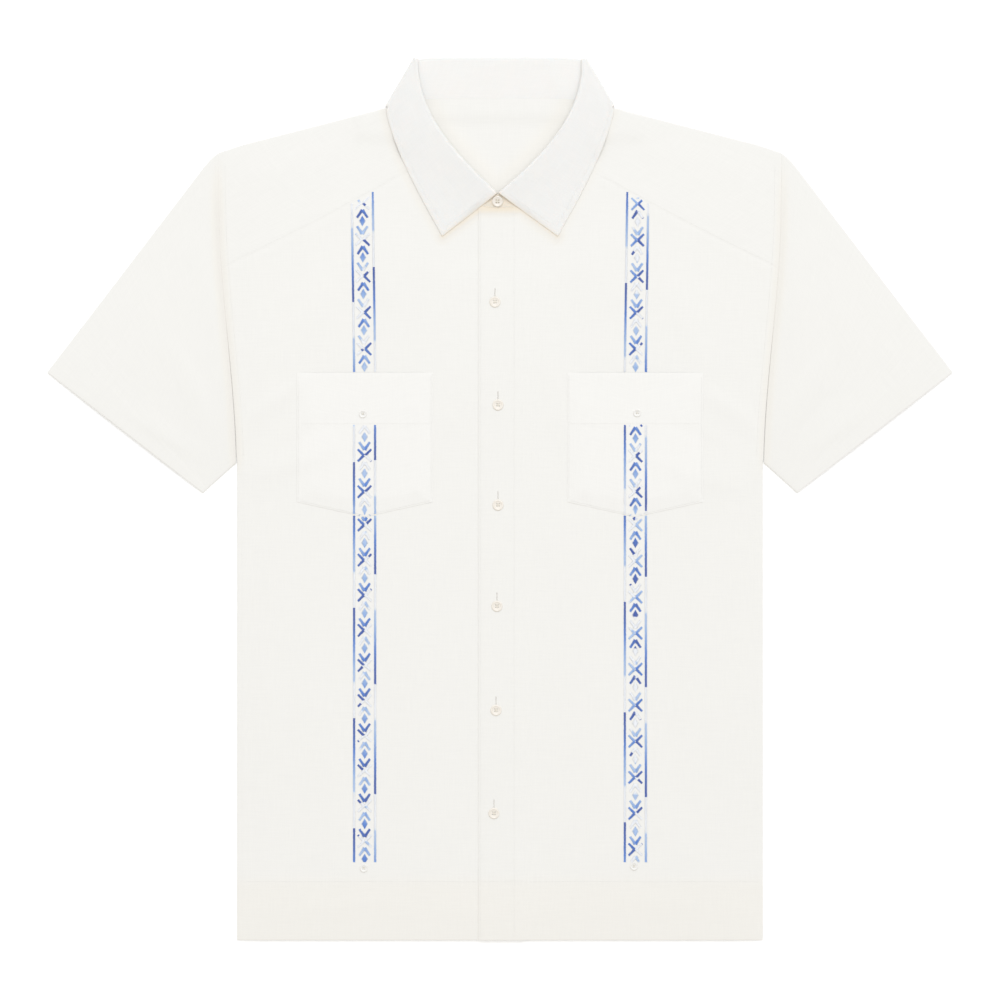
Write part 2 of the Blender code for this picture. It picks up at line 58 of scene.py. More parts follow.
# Cloth
WALL = 1.2 * MM
GAP = 0.3 * MM
PITCH = WALL + GAP
THIN_HALF = 0.3 * MM  # half the thickness of one layer of cloth
THICK_HALF = 0.42 * MM  # and of cloth that is turned under
EDGE_ROUND = 0.7 * MM
SEAM_TUCK = 0.42 * MM  # how far a sewn edge runs on into its neighbour
YOKE_TUCK = 0.9 * MM
YOKE_UNDER = 0.06 * MM  # how far the fronts lie below the yoke where they run under it
YOKE_LEAD = 2 * MM
FOLD_REACH = 3 * MM  # how far from the fold over the shoulder its height is taken
FOLD_STEP = 4.5 * MM  # how far the step at the end of a turning runs out
GRID_STEP = 3.2 * MM
BACK_STEP = 5 * MM
POCKET_STEP = 2.6 * MM
EDGE_STOPS = np.array((0, 0.1, 0.3, 0.6, 1.1, 2.0)) * MM
LINE_STOPS = np.array((-1.3, -0.4, 0.4, 1.3)) * MM
LEAST_STEP = 0.07 * MM

# The middle of each layer's wall, from the floor up
LOW = WALL / 2
MID = LOW + PITCH
HIGH = MID + PITCH

# Body
CHEST_HALF = 252.5 * MM
HEM_Y = -424 * MM
ARMPIT_Y = 34 * MM
SHOULDER_HALF = 270.7 * MM
ARMHOLE_TURN = 1.25
ARMHOLE_BEND = 0.7
LEFT_LAP = 21 * MM
RIGHT_LAP = 17 * MM
LAP_RAMP = (19 * MM, 28 * MM)
HEM_DEPTH = 58 * MM
PLACKET_WIDTH = 36 * MM
SEAM_DEPTH = 8 * MM

# Neck and shoulders
NECK_Y = 378 * MM
NECK_RADIUS = 99 * MM
BACK_NECK_Y = 385.4 * MM
NECK_CURVE = 6
SHOULDER_SLOPE = 0.2575
SHOULDER_ROUND_X = 240 * MM
SHOULDER_ROUND_DROP = 2.1 * MM

# Yoke
BACK_YOKE_Y = 268 * MM
YOKE_NECK_X = 80 * MM
YOKE_ARM_Y = 221 * MM
YOKE_SAG = 3 * MM
YOKE_FOOT_Y = BACK_YOKE_Y - SEAM_TUCK
YOKE_BEND = np.linspace(-pi / 2, pi / 2, 9)

# Sleeves
CAP_TURN = (275.7 * MM, 329.4 * MM)
CAP_END = (288 * MM, 313.4 * MM)
SLEEVE_TIP = (434.9 * MM, 121.4 * MM)
CUFF_UNDER = (285 * MM, 5.3 * MM)
CAP_SHARE = 0.2
CUFF_DEPTH = 28 * MM
CUFF_STITCH = 1.5 * MM
CUFF_ROLL = 2 * MM
SLEEVE_CURVE = 0.7
SLEEVE_BEND = np.linspace(pi / 2, -pi / 2, 8)
SLEEVE_LENGTH = 260 * MM  # along its middle
SLEEVE_WIDTH = 215 * MM

# The yoke and what lies on it rise where the back of the collar lies under them.
RISE_Y = (356 * MM, 371 * MM)
RISE_X = (113 * MM, 126 * MM)
RISE_LEAD = 18 * MM

# Collar
COLLAR_TOP_Y = 423.8 * MM
COLLAR_CORNER_X = 82.6 * MM
LEAF_SIDE = (110.3 * MM, 376.9 * MM)
LEAF_START = (110 * MM, 376 * MM)
LEAF_POINT = (55.5 * MM, 251.4 * MM)
LEAF_TURN = 0.1
LEAF_STEP = 2.2 * MM
LEAF_SWELL = 5.5 * MM
LEAF_SWELL_CURVE = 0.74
LEAF_BACK_Y = 376 * MM
MEETING = (-1.9 * MM, 293.3 * MM)
ROLL_START = (78 * MM, 414 * MM)
ROLL_HANDLES = ((80 * MM, 366 * MM), (36.6 * MM, 325.3 * MM))
ROLL_LENGTH = 145 * MM
SIDE_OUT = np.array((0.882, 0.471, 0.0))
SIDE_UP = np.array((-0.471, 0.882, 0.0))
STAND_NECK = (97.6 * MM, 378.4 * MM)
FOLD_LEVEL = 5.05 * MM
STAND_FOLD = 0.95 * MM
FALL_FOLD = 4.45 * MM
BACK_CREST = 7 * MM
FRONT_CREST = 6.6 * MM
LEAF_LEVEL = 10.4 * MM
MEETING_LEVEL = 9 * MM
LEAF_SAG = 1.6 * MM  # how far a leaf hangs between its roll and its point, from SAG_FROM on
SAG_FROM = 0.4
STAND_TAB_HEIGHT = 11.4 * MM
STAND_TAB_ROUND = 0.7
TAB_CURVE = 2.2
TAB_LENGTH = 14 * MM
TAB_STEP = 1.2 * MM
NECK_SHARE_CURVE = 1.7
NECK_TURN = 3
CREST_CURVE = 3
CORNER_CURVE = 4
BULGE_TURN = 0.15
BACK_STATIONS = 34
FOLD_STATIONS = 13
COLLAR_HALF = 0.5 * MM
COLLAR_STITCH = 6 * MM
STAND_TUCK = 0.9 * MM
STAND_HEIGHT = 34 * MM
FALL_DEPTH = 70 * MM
COLLAR_STEP = 2.4 * MM
LEAF_BOW = 0.7 * MM  # how far a leaf bows up between its roll and its edge
LEAF_SINK = 0.6 * MM  # and how far its edge comes down onto the cloth below

Half = namedtuple("Half", "side tab_reach crest_level crest_rise neck_level")
LEFT_HALF = Half(1, 20.5 * MM, 6.1 * MM, 2.9 * MM, HIGH)
RIGHT_HALF = Half(-1, 12 * MM, 4.0 * MM, 1.9 * MM, MID)

# Pockets
POCKET_X = 129.8 * MM
POCKET_TOP = 120.5 * MM
POCKET_HALF = 65.3 * MM
POCKET_SIDE_Y = -3.4 * MM
POCKET_POINT_Y = -17.8 * MM
POCKET_HEM_Y = 70.6 * MM  # the stitch line of the deep hem along its opening
POCKET_STITCH = 1.6 * MM
POCKET_HEM_STITCH = 1.2 * MM
POCKET_TURNING = 6 * MM

# How the cloth lies: air between its layers, and how it comes down at seams and edges
BODY_AIR = 1.1 * MM
HEM_AIR = 0.4  # the share of it that is left at the hem
SLEEVE_AIR = 1.5 * MM
POCKET_AIR = 0.5 * MM
POCKET_SWELL = 0.25 * MM
AIR_LEAD = 34 * MM
BACK_FREE_Y = 340 * MM
COLLAR_REACH = 141 * MM
COLLAR_LEAD = 40 * MM
SEAM_ROLL = 5 * MM
SIDE_DROP = 0.55 * MM
ARMHOLE_DROP = 0.42 * MM
EDGE_DROP = 0.2 * MM
YOKE_DROP = EDGE_DROP / 3
PRESSED = 0.8 * MM  # how far a sewn edge comes down onto the layer below
POCKET_PRESSED = 1.0 * MM
PRESSED_HALF = 0.2 * MM
POCKET_ROLL = 16 * MM
PRESS_ROLL = 4 * MM
BACK_LIFT = 0.32 * MM
INNER_SWELL = 2.2 * MM  # how far the inside of the back rises to the roll of the collar
INNER_REACH = 13 * MM
DROOP_REACH = 5 * MM  # how wide the leaves' front edges come down onto the cloth
DROOP_FROM = (9 * MM, 20 * MM)
PUCKER = 0.11 * MM
PUCKER_REACH = 13 * MM
PUCKER_WAVES = (7.3, 11.9, 19.7)  # their lengths, in millimetres
Pucker = namedtuple("Pucker", "share seed")
PUCKERS = {
    "side": Pucker(1, 1.3),
    "hem": Pucker(0.5, 2.1),
    "yoke": Pucker(0.6, 0.7),
    "placket": Pucker(1, 3.7),
    "turning": Pucker(0.3, 5.1),
    "pocket": Pucker(1, 4.4),
    "cuff": Pucker(1, 2.9),
}

# Tints of the cloth's colour, from 0 to 1: a slightly warmer tone on the doubled hem, and painted
# shade at the armholes, beside the collar's edges, in its recesses and inside the back: right and left
# where there are two
HEM_WARMTH = 0.12
ARMHOLE_TINT_AND_SHADE = (0.5, 0.32)
ARMHOLE_SHIFT = 1.3 * MM
ARMHOLE_TINTED = (14 * MM, 335 * MM)  # from where to where, upwards
OUTER_PAINTED_SHADOW = (0.5, 0.15)
FRONT_EDGE_PAINTED_SHADE = 0.9
WARM_REACH = 4.8 * MM
SOFT_EDGE = 16 * MM
RECESS_HALF = 20 * MM
RECESS_LOW_Y = 278 * MM
RECESS_FADE = 10 * MM
INNER_PAINTED_SHADE = (0.25, 0.33)
RIM_WIDTH = 3.2 * MM

CREASE_LEAN = (0.75, 1.2)  # shares of its width: a crease is steeper on the outside of its bow
CREASE_TAPER = 1.5

# Creases, in millimetres and degrees: the middle of each, its direction, its length and width, its
# height (a trough where it is negative), and how far its line bows.
Crease = namedtuple("Crease", "x y angle length width height bow")
FRONT_CREASES = (
    Crease(-205, -70, 79, 310, 15, 1.0, 10),
    Crease(-172, -250, 97, 220, 19, 0.8, -8),
    Crease(-78, -190, 88, 320, 22, 0.7, 6),
    Crease(-58, 70, 71, 190, 14, 0.6, -6),
    Crease(-214, 92, 34, 105, 9, 1.0, 4),
    Crease(-196, 38, 17, 125, 11, 0.9, -5),
    Crease(-176, 64, 27, 110, 9, -0.4, 3),
    Crease(-112, 212, 117, 90, 11, 0.5, 3),
    Crease(-186, 176, 66, 120, 12, 0.6, -5),
    Crease(-150, -392, 8, 130, 8, 0.4, 3),
    Crease(-60, -330, 62, 120, 13, 0.5, 5),
    Crease(61, 96, 104, 205, 15, 0.7, 7),
    Crease(84, -214, 93, 300, 21, 0.8, -7),
    Crease(193, -150, 84, 290, 16, 1.0, 9),
    Crease(217, 85, 147, 115, 10, 1.0, -4),
    Crease(190, 26, 162, 130, 12, 0.8, 5),
    Crease(182, 60, 152, 100, 8, -0.4, -3),
    Crease(160, -300, 101, 180, 18, 0.7, 5),
    Crease(118, 208, 64, 85, 11, 0.5, -3),
    Crease(182, 168, 112, 130, 13, 0.6, 5),
    Crease(146, -388, 173, 110, 9, 0.4, -3),
    Crease(52, -60, 80, 160, 12, 0.4, 4),
)
BACK_CREASES = (
    Crease(-150, 60, 82, 380, 24, 0.8, 9),
    Crease(-70, -220, 95, 260, 20, 0.6, -7),
    Crease(20, 80, 88, 300, 26, 0.7, 6),
    Crease(110, -120, 97, 340, 22, 0.8, -8),
    Crease(190, 20, 150, 140, 12, 0.7, 4),
    Crease(-200, 28, 24, 130, 11, 0.7, -4),
    Crease(60, -330, 74, 130, 15, 0.5, 4),
    Crease(-170, -310, 86, 160, 17, 0.6, -5),
)
LEFT_SLEEVE_CREASES = (
    Crease(296, 96, 63, 130, 11, 1.1, 6),
    Crease(320, 68, 35, 110, 10, 0.9, -5),
    Crease(333, 176, 101, 120, 14, 0.8, 6),
    Crease(374, 128, 118, 95, 12, 0.6, -5),
    Crease(291, 205, 84, 140, 12, 0.8, 5),
    Crease(306, 84, 50, 90, 6, -0.4, 3),
)
RIGHT_SLEEVE_CREASES = (
    Crease(-300, 104, 115, 140, 12, 1.0, -6),
    Crease(-316, 62, 148, 105, 9, 1.0, 5),
    Crease(-345, 158, 76, 110, 13, 0.8, -6),
    Crease(-288, 214, 98, 120, 11, 0.7, -4),
    Crease(-378, 112, 60, 80, 11, 0.6, 4),
)

# The fields of a record for a sheet of cloth: its finished flat size and area, in metres, and how it lies
Sheet = namedtuple("Sheet", "flat area held rests_on")

# The finish of the cloth
SOAK_RADIUS = (3.0, 1.6, 0.9)  # how far red, green and blue light soak through the collar, in mm
YARN_PITCH = 0.72 * MM
YARN_DRIFT = 1.6 * MM  # how far the yarns wander
SLUB_STRETCHES = ((900, 42, 1), (36, 820, 1))  # the grain of the slubs along warp and weft
TINT_AND_SHADE_STOPS = (  # the shares of the cloth's colour that are left: a slightly warmer tone for doubled cloth, then painted shade, greyish and then warm
    (0.0, (1, 1, 1)),
    (0.15, (0.998, 0.986, 0.966)),
    (0.5, (0.962, 0.944, 0.924)),
    (1.0, (0.985, 0.905, 0.79)),
)

# Sewing, in matching thread: the stitches, and how far their lines are from edges and seams
STITCH_LENGTH = 2.5 * MM
STITCH_PITCH = 3.1 * MM
STITCH_RADIUS = 0.17 * MM
STITCH_ARCH = 0.1 * MM
STITCH_SINK = 0.02 * MM
STITCH_TAPER = 0.7
SATIN_PITCH = 0.45 * MM
SATIN_RADIUS = 0.27 * MM
SATIN_ARCH = 0.16 * MM
SATIN_JITTER = 0.09 * MM
SATIN_SLANT = 0.12 * MM
EDGE_STITCH = 2 * MM
HEM_STITCH = 1.5 * MM
SEAM_STITCH = 1.8 * MM
ARMHOLE_STITCH = 6.5 * MM
ARMHOLE_SEWN = (40 * MM, 322 * MM)  # from where to where, upwards
HEM_SEWN = 249 * MM  # how far out from the centre
YOKE_SEWN = 262 * MM
YOKE_SEAM_SEWN = np.linspace(0, 1, 120)[12:-2]  # shares of the front yoke seam
PLACKET_END = 3 * MM  # how far below the neckline
BUTTONHOLE_LENGTH = 15 * MM
BUTTONHOLE_COLUMN = 0.9 * MM
BUTTONHOLE_SLIT = -0.3 * MM  # its two columns overlap, so that it is shut
BUTTONHOLE_START = 2.5 * MM  # how far it reaches below the button's middle
BUTTONHOLE_PITCH = 0.32 * MM
BUTTONHOLE_SLANT = 0.1 * MM
# A slight warm tint on the buttonholes' stitches: painted shade of the shut slit
BUTTONHOLE_PAINTED_SHADE = 0.15
BUTTONHOLE_FROM = 9 * MM  # flat buttons that are wider than this have one
BAR_STRANDS = np.array((-0.5, 0, 0.5)) * MM
BAR_LIFT = 0.1 * MM

# Embroidery. Two bands run down the front. Each has two rails and a column of crosses, chevrons
# and diamonds, in thread that is dyed from white through pale blue to navy along its length.
BAND_X = 129.9 * MM
BAND_LEAN_Y = 130 * MM  # above here the bands lean outwards
BAND_LEAN = 0.0145
RAIL_OFFSET = 10.1 * MM
RAIL_WIDTH = 2.75 * MM
RAIL_CYCLE = 105.6 * MM
CROSS_GAP = 0.7 * MM
CROSS_REACH = (6.5 * MM, 5.8 * MM)
CHEVRON_HALF = 5.1 * MM
CHEVRON_DROP = 7.4 * MM
DIAMOND = (3.7 * MM, 4.9 * MM)  # half its width and half its height
STROKE_WIDTH = 3.15 * MM
ARM_WIDTHS = (0.8 * STROKE_WIDTH, 1.1 * STROKE_WIDTH)  # of a cross, from its tip inwards
WING_WIDTHS = (0.9 * STROKE_WIDTH, STROKE_WIDTH, 4.4 * MM)  # of a chevron, from its foot to its apex
TIP_WIDTH = 0.3 * MM
PEAK_Y, DIAMOND_Y, VALLEY_Y = 6.6 * MM, 17.2 * MM, 29.6 * MM  # below the cross, in each repeat
CROSS_THREAD, CHEVRON_THREAD, DIAMOND_THREAD = 0.092, 0.113, 0.178  # shares of a repeat's thread
BAND_CLEAR = 0.7 * MM
RAIL_PARTS = 60
WHITE_SHARE = 0.3  # the part of a dye cycle that is white, before the blue
PALE_SHADE = 0.3
PALE_LEAD = 0.06  # shares of the blue part: where the thread has turned pale, and starts to darken
PALE_UNTIL = 0.12
BLUE_RUN = (0.001, 0.999)

# A stretch of a band: where it ends, the first cross and the repeat, which way the thread runs
# (1 down, -1 up), and how the dye's phase starts and drifts from one repeat to the next. The rails
# give where one of their blue runs starts, and whether it darkens downwards (1) or upwards (-1).
Stretch = namedtuple("Stretch", "side on top bottom first repeat way phase drift outer inner")
Rail = namedtuple("Rail", "start way")
STRETCHES = (
    Stretch(-1, "body", None, 121.4, 283.5, 35.0, -1, 1.15, -0.06, Rail(262.6, 1), Rail(222.2, -1)),
    Stretch(-1, "pocket", 70.6, -17.4, 76.3, 34.9, 1, -0.10, 0.005, Rail(35.0, -1), Rail(110.9, 1)),
    Stretch(-1, "body", -17.9, -349, -25.4, 33.7, 1, -0.07, 0.03, Rail(-105.1, -1), Rail(-104.2, 1)),
    Stretch(1, "body", None, 121.4, 282.7, 34.8, 1, 0.70, 0.067, Rail(274.1, 1), Rail(206.9, -1)),
    Stretch(1, "pocket", 70.6, -17.4, 74.9, 34.1, -1, 1.05, -0.01, Rail(61.9, 1), Rail(80.2, -1)),
    Stretch(1, "body", -17.9, -349, -25.4, 34.6, 1, 0.32, 0.075, Rail(-107.0, 1), Rail(-99.4, -1)),
)

# Buttons
BUTTON_THICK = 2.2 * MM
BUTTON_SIDES = 56
BUTTON_SINK = 0.7 * MM  # how far its sewing pulls it into the cloth
BUTTON_SHARP = radians(38)  # edges that are sharper than this aren't smoothed
BUTTON_STRANDS = np.linspace(-0.5, 0.5, 5) * MM
STRAND_SINK = 0.25 * MM
DISH = 0.7  # the height of the dish, as a share of the button's
BUTTON_TILT = {"button_collar": radians(12)}
Ring = namedtuple("Ring", "radius height")
BUTTON_RINGS = (
    Ring(0.70, 0.0),
    Ring(0.82, 0.03),
    Ring(0.93, 0.16),
    Ring(1.00, 0.40),
    Ring(0.995, 0.62),
    Ring(0.95, 0.86),
    Ring(0.89, 0.98),
    Ring(0.83, 1.00),
    Ring(0.76, 0.97),
    Ring(0.68, 0.86),
    Ring(0.61, 0.73),
    Ring(0.52, 0.68),
    Ring(0.30, 0.67),
)
HOLE_RING = 0.3125  # shares of the button's radius: from its middle to a hole's, and a hole's own
HOLE_RADIUS = 0.135
HOLE_SIDES = 20

# Stage, light and camera
FLOOR_CORNERS = ((-4, -4), (4, -4), (4, 4), (-4, 4))  # metres
FLOOR_DROP = 0.05 * MM
FLOOR_COLOUR = (0.93, 0.93, 0.93, 1)
FLOOR_GLOW = 0.16
PICTURE_WIDTH = 0.96  # metres across the picture, at the height of the cloth
PICTURE_CENTRE_Y = -1.44 * MM
LENS = 120
SENSOR = 36
ROOM_LIGHT = 0.733
ROOM_COLOUR = (1.03, 0.998, 0.948, 1)
LAMP_COLOUR = (0.934, 1.0, 1.10)
KEY_LIGHT, KEY_SPREAD, KEY_PLACE = 0.694, 50, (0.6, 1.6, 3.2)
TOP_LIGHT, TOP_SIZE, TOP_PLACE = 17.4, 1.8, (0, 1.8, 2.6)


# Small tools


def smooth(t):
    """0 below 0, 1 above 1, and a soft step between."""
    t = np.clip(t, 0, 1)
    return t * t * (3 - 2 * t)


def lerp(a, b, t):
    return np.asarray(a) + (np.asarray(b) - np.asarray(a)) * t


def unit(vectors):
    vectors = np.asarray(vectors, float)
    return vectors / np.maximum(np.linalg.norm(vectors, axis=-1, keepdims=True), 1e-12)


def through_three(first, middle, last, t):
    """The parabola through three values at t = 0, 0.5 and 1."""
    return first * (1 - t) * (1 - 2 * t) + middle * 4 * t * (1 - t) + last * t * (2 * t - 1)


def bezier(a, b, c, d, t):
    """A point on a cubic curve, and its direction there."""
    a, b, c, d = map(np.asarray, (a, b, c, d))
    point = a * (1 - t) ** 3 + 3 * b * t * (1 - t) ** 2 + 3 * c * t**2 * (1 - t) + d * t**3
    along = (b - a) * (1 - t) ** 2 + 2 * (c - b) * t * (1 - t) + (d - c) * t**2
    return point, unit(along)


def stops(length, step=GRID_STEP, first=True, last=True, lines=()):
    """Shares from 0 to 1 along a strip, closer together at its free edges and at sewn lines."""
    begun = EDGE_STOPS if first else EDGE_STOPS[:1]
    ended = length - (EDGE_STOPS if last else EDGE_STOPS[:1])
    count = int(np.ceil((ended[-1] - begun[-1]) / step)) + 1
    found = [begun, ended, np.linspace(begun[-1], ended[-1], count)]
    found += [line + LINE_STOPS for line in lines]
    found = np.unique(np.round(np.concatenate(found) / length, 7))
    keep = np.concatenate([[True], np.diff(found) > LEAST_STEP / length])
    return found[keep]


def patch(lower, upper, left, right, u, v):
    """Plan points between four edges that share their corners: rows run from lower to upper."""
    lower, upper, left, right = map(np.asarray, (lower, upper, left, right))
    u, v = u[None, :, None], v[:, None, None]
    across = (1 - v) * lower[None] + v * upper[None]
    along = (1 - u) * left[:, None] + u * right[:, None]
    low_corners = (1 - v) * ((1 - u) * lower[0] + u * lower[-1])
    high_corners = v * ((1 - u) * upper[0] + u * upper[-1])
    return across + along - low_corners - high_corners


def ending_at(edge, first, last, t):
    """An edge moved so that it starts and ends at two given points."""
    edge = np.asarray(edge)
    t = t[:, None]
    return edge + (1 - t) * (np.asarray(first) - edge[0]) + t * (np.asarray(last) - edge[-1])


def lifted(plan, level, side=1):
    """Plan points with their heights. Side -1 mirrors them to the wearer's right first."""
    x, y = side * plan[..., 0], plan[..., 1]
    return np.dstack([x, y, level(x, y)])


def points_at(x, y):
    """Plan points. Either of x and y may be a single value."""
    return np.stack(np.broadcast_arrays(x, y), axis=-1)


def mirrored(grid, side):
    grid = np.array(grid, float)
    grid[..., 0] *= side
    return grid


# The garment's lines


def shoulder_y(x):
    straight = NECK_Y - SHOULDER_SLOPE * (x - NECK_RADIUS)
    turn = (x - SHOULDER_ROUND_X) / (SHOULDER_HALF - SHOULDER_ROUND_X)
    return straight - SHOULDER_ROUND_DROP * np.maximum(turn, 0) ** 2


def armhole_x(y):
    t = np.clip((y - ARMPIT_Y) / (shoulder_y(SHOULDER_HALF) - ARMPIT_Y), 0, 1)
    share = lerp(t, smooth(ARMHOLE_TURN * t), ARMHOLE_BEND)
    return CHEST_HALF + (SHOULDER_HALF - CHEST_HALF) * share


def body_edge_x(y):
    """The edge of the back, the fronts and the yoke: the side, and from the armpit up the armhole."""
    return armhole_x(y) + lerp(-GAP / 2, SEAM_TUCK, smooth((y - ARMPIT_Y) / SEAM_ROLL))


def body_edge(y, first, last, t):
    """The side or the armhole at some heights, moved to start and end at two given points."""
    return ending_at(points_at(body_edge_x(y), y), first, last, t)


def neckline_y(x, radius):
    return NECK_Y - np.sqrt(radius**2 - x**2)


def leaf_outline(u):
    """The outer edge of a leaf, from the collar's side to the leaf's point."""
    down = unit(np.subtract(LEAF_POINT, LEAF_START))
    swell = LEAF_SWELL * np.sin(pi * u**LEAF_SWELL_CURVE)
    return lerp(LEAF_START, LEAF_POINT, u) + swell * np.array((-down[1], down[0]))


def yoke_seam(t, shift=0.0):
    """The slanting front seam: t runs from the neckline to the armhole."""
    t = np.asarray(t, float)[..., None]
    inner = (YOKE_NECK_X, neckline_y(YOKE_NECK_X, NECK_RADIUS + GAP))
    outer = (body_edge_x(YOKE_ARM_Y), YOKE_ARM_Y)
    point = lerp(inner, outer, t)
    point[..., 1] += shift - YOKE_SAG * (4 * t * (1 - t))[..., 0]
    return point


def yoke_seam_y(x):
    """The height of the front yoke seam above a place on the hem."""
    line = yoke_seam(np.linspace(0, 1, 40))
    return np.interp(np.abs(x), line[:, 0], line[:, 1])


def rise(x, y, layer):
    lead = RISE_LEAD * layer
    along = smooth((y + lead - RISE_Y[0]) / (RISE_Y[1] - RISE_Y[0]))
    across = smooth((RISE_X[1] + lead - np.abs(x)) / (RISE_X[1] - RISE_X[0]))
    return PITCH * along * across


# How the cloth lies


def creased(x, y, creases):
    """The height that a table of creases adds."""
    total = np.zeros(np.broadcast(x, y).shape)
    for c in creases:
        turn = radians(c.angle)
        dx, dy = x - c.x * MM, y - c.y * MM
        along = (dx * cos(turn) + dy * sin(turn)) / (c.length / 2 * MM)
        inside = np.clip(1 - along**2, 0, 1)
        aside = (dy * cos(turn) - dx * sin(turn) - c.bow * MM * inside) / (c.width * MM)
        lean = np.where(aside * c.bow > 0, *CREASE_LEAN)
        total += c.height * MM * inside**CREASE_TAPER * np.exp(-((aside / lean) ** 2))
    return total


def puckers(along, distance, line):
    """The small uneven ripples that a line of sewing draws up beside it."""
    share, seed = PUCKERS[line]
    waves = [np.sin(2 * pi * along / (length * MM) + seed * length) for length in PUCKER_WAVES]
    return share * PUCKER * sum(waves) / len(waves) * np.exp(-((distance / PUCKER_REACH) ** 2))


def beyond_collar(x, y):
    """0 where the collar lies on the cloth, 1 clear of it."""
    return smooth((np.hypot(x, y - NECK_Y) - COLLAR_REACH) / COLLAR_LEAD)


def near(distance, reach):
    """1 at an edge, and 0 from reach inwards."""
    return 1 - smooth(distance / reach)


def side_distance(x, y):
    return armhole_x(y) - np.abs(x)


def body_air(x, y):
    side = smooth(side_distance(x, y) / AIR_LEAD)
    hem = lerp(HEM_AIR, 1, smooth((y - HEM_Y) / AIR_LEAD))
    top = smooth((shoulder_y(np.abs(x)) - y) / AIR_LEAD)
    return BODY_AIR * side * hem * top * beyond_collar(x, y)


def from_line(x, y, line):
    """How far places are from a line of points, which is mirrored to the wearer's right."""
    return np.min([np.hypot(np.abs(x) - a, y - b) for a, b in line], axis=0)


def inner_roll(x, y):
    """1 beside the roll of the collar on the inside of the back, fading away from it."""
    line, _ = bezier(ROLL_START, *ROLL_HANDLES, (0, MEETING[1]), np.linspace(0, 1, 30)[:, None])
    inside = smooth((NECK_RADIUS - np.hypot(x, y - NECK_Y)) / INNER_REACH)
    return inside * np.exp(-((from_line(x, y, line) / INNER_REACH) ** 2))


def back_level(x, y):
    side = side_distance(x, y)
    free = smooth(side / AIR_LEAD) * smooth((BACK_FREE_Y - y) / AIR_LEAD)
    folds = creased(x, y, BACK_CREASES) * free
    swell = INNER_SWELL * inner_roll(x, y) * smooth((BACK_NECK_Y - y) / AIR_LEAD)
    return LOW + rise(x, y, 0) + folds + swell + BACK_LIFT * near(side, SEAM_ROLL)


def front_level(x, y):
    side, seam = side_distance(x, y), y - yoke_seam_y(x)
    drop = lerp(SIDE_DROP, ARMHOLE_DROP, smooth((y - ARMPIT_Y) / SEAM_ROLL)) * near(side, SEAM_ROLL)
    drop += EDGE_DROP * near(y - HEM_Y, SEAM_ROLL)
    drop += YOKE_DROP * near(np.abs(seam), SEAM_ROLL / 2) * (np.abs(x) > YOKE_NECK_X)
    free = beyond_collar(x, y) * smooth(side / (AIR_LEAD / 2))
    ripples = puckers(y, side, "side") + puckers(x, y - HEM_Y - HEM_DEPTH, "hem")
    ripples += puckers(x, seam, "yoke") * free
    folds = creased(x, y, FRONT_CREASES) * free
    return MID + rise(x, y, 1) + body_air(x, y) + folds + ripples - drop


def lapped_level(x, y):
    """The left front, which lies on the right front at the centre."""
    edge = x + LEFT_LAP
    lap = smooth((LAP_RAMP[1] - x) / (LAP_RAMP[1] - LAP_RAMP[0]))
    ripples = puckers(y, edge, "placket") + puckers(y, edge - PLACKET_WIDTH, "turning")
    level = front_level(x, y) + PITCH * lap - PRESSED * near(edge, PRESS_ROLL)
    return level + ripples * beyond_collar(x, y)


def pocket_foot(x):
    """The height of a pocket's lower edge."""
    return lerp(POCKET_POINT_Y, POCKET_SIDE_Y, np.abs(np.abs(x) - POCKET_X) / POCKET_HALF)


def pocket_edge(x, y):
    """How far a place is from a pocket's sewn sides and bottom, measured inwards."""
    return np.minimum(POCKET_HALF - np.abs(np.abs(x) - POCKET_X), y - pocket_foot(x))


def pocket_level(x, y):
    edge = pocket_edge(x, y)
    up_the_hem = (y - POCKET_HEM_Y) / (POCKET_TOP - POCKET_HEM_Y)
    air = POCKET_AIR * smooth(edge / (AIR_LEAD / 2))
    air += POCKET_SWELL * smooth(up_the_hem) * smooth(edge / AIR_LEAD)
    pressed = np.maximum(near(edge, POCKET_ROLL), near(POCKET_TOP - y, 3 * POCKET_ROLL))
    level = front_level(x, y) + PITCH + air - POCKET_PRESSED * pressed
    return level + puckers(x + y, edge, "pocket")


def turned(*turnings):
    """1 on turnings, each given by how far it is to its edge and how deep it is, and 0 elsewhere."""
    return np.max([1 - smooth((distance - depth) / FOLD_STEP) for distance, depth in turnings], axis=0)


def armhole_tint_and_shade(x, y):
    """Where the seam allowances at the armhole show through, with painted shade along the seam, softly,
    more on the wearer's right, the side away from the key light.
    """
    distance = np.abs(x) - armhole_x(y) - ARMHOLE_SHIFT
    strength = np.where(x < 0, *ARMHOLE_TINT_AND_SHADE) * smooth((y - ARMHOLE_TINTED[0]) / AIR_LEAD)
    strength *= smooth((ARMHOLE_TINTED[1] - y) / (2 * AIR_LEAD))
    return strength * np.exp(-((distance / WARM_REACH) ** 2))


def hem_and_armhole_tint_and_shade(x, y):
    """The doubled hem's slightly warmer tone, and the armholes' tint with painted shade."""
    hem = HEM_WARMTH * smooth((HEM_Y + HEM_DEPTH + SOFT_EDGE / 2 - y) / SOFT_EDGE)
    return hem + armhole_tint_and_shade(x, y)


def front_tint_and_shade(x, y):
    """The hem's doubled tone, the armholes' tint and painted shade, and painted shade on the cloth round
    the collar's edges.
    """
    return np.clip(hem_and_armhole_tint_and_shade(x, y) + collar_painted_shade(x, y), 0, 1)


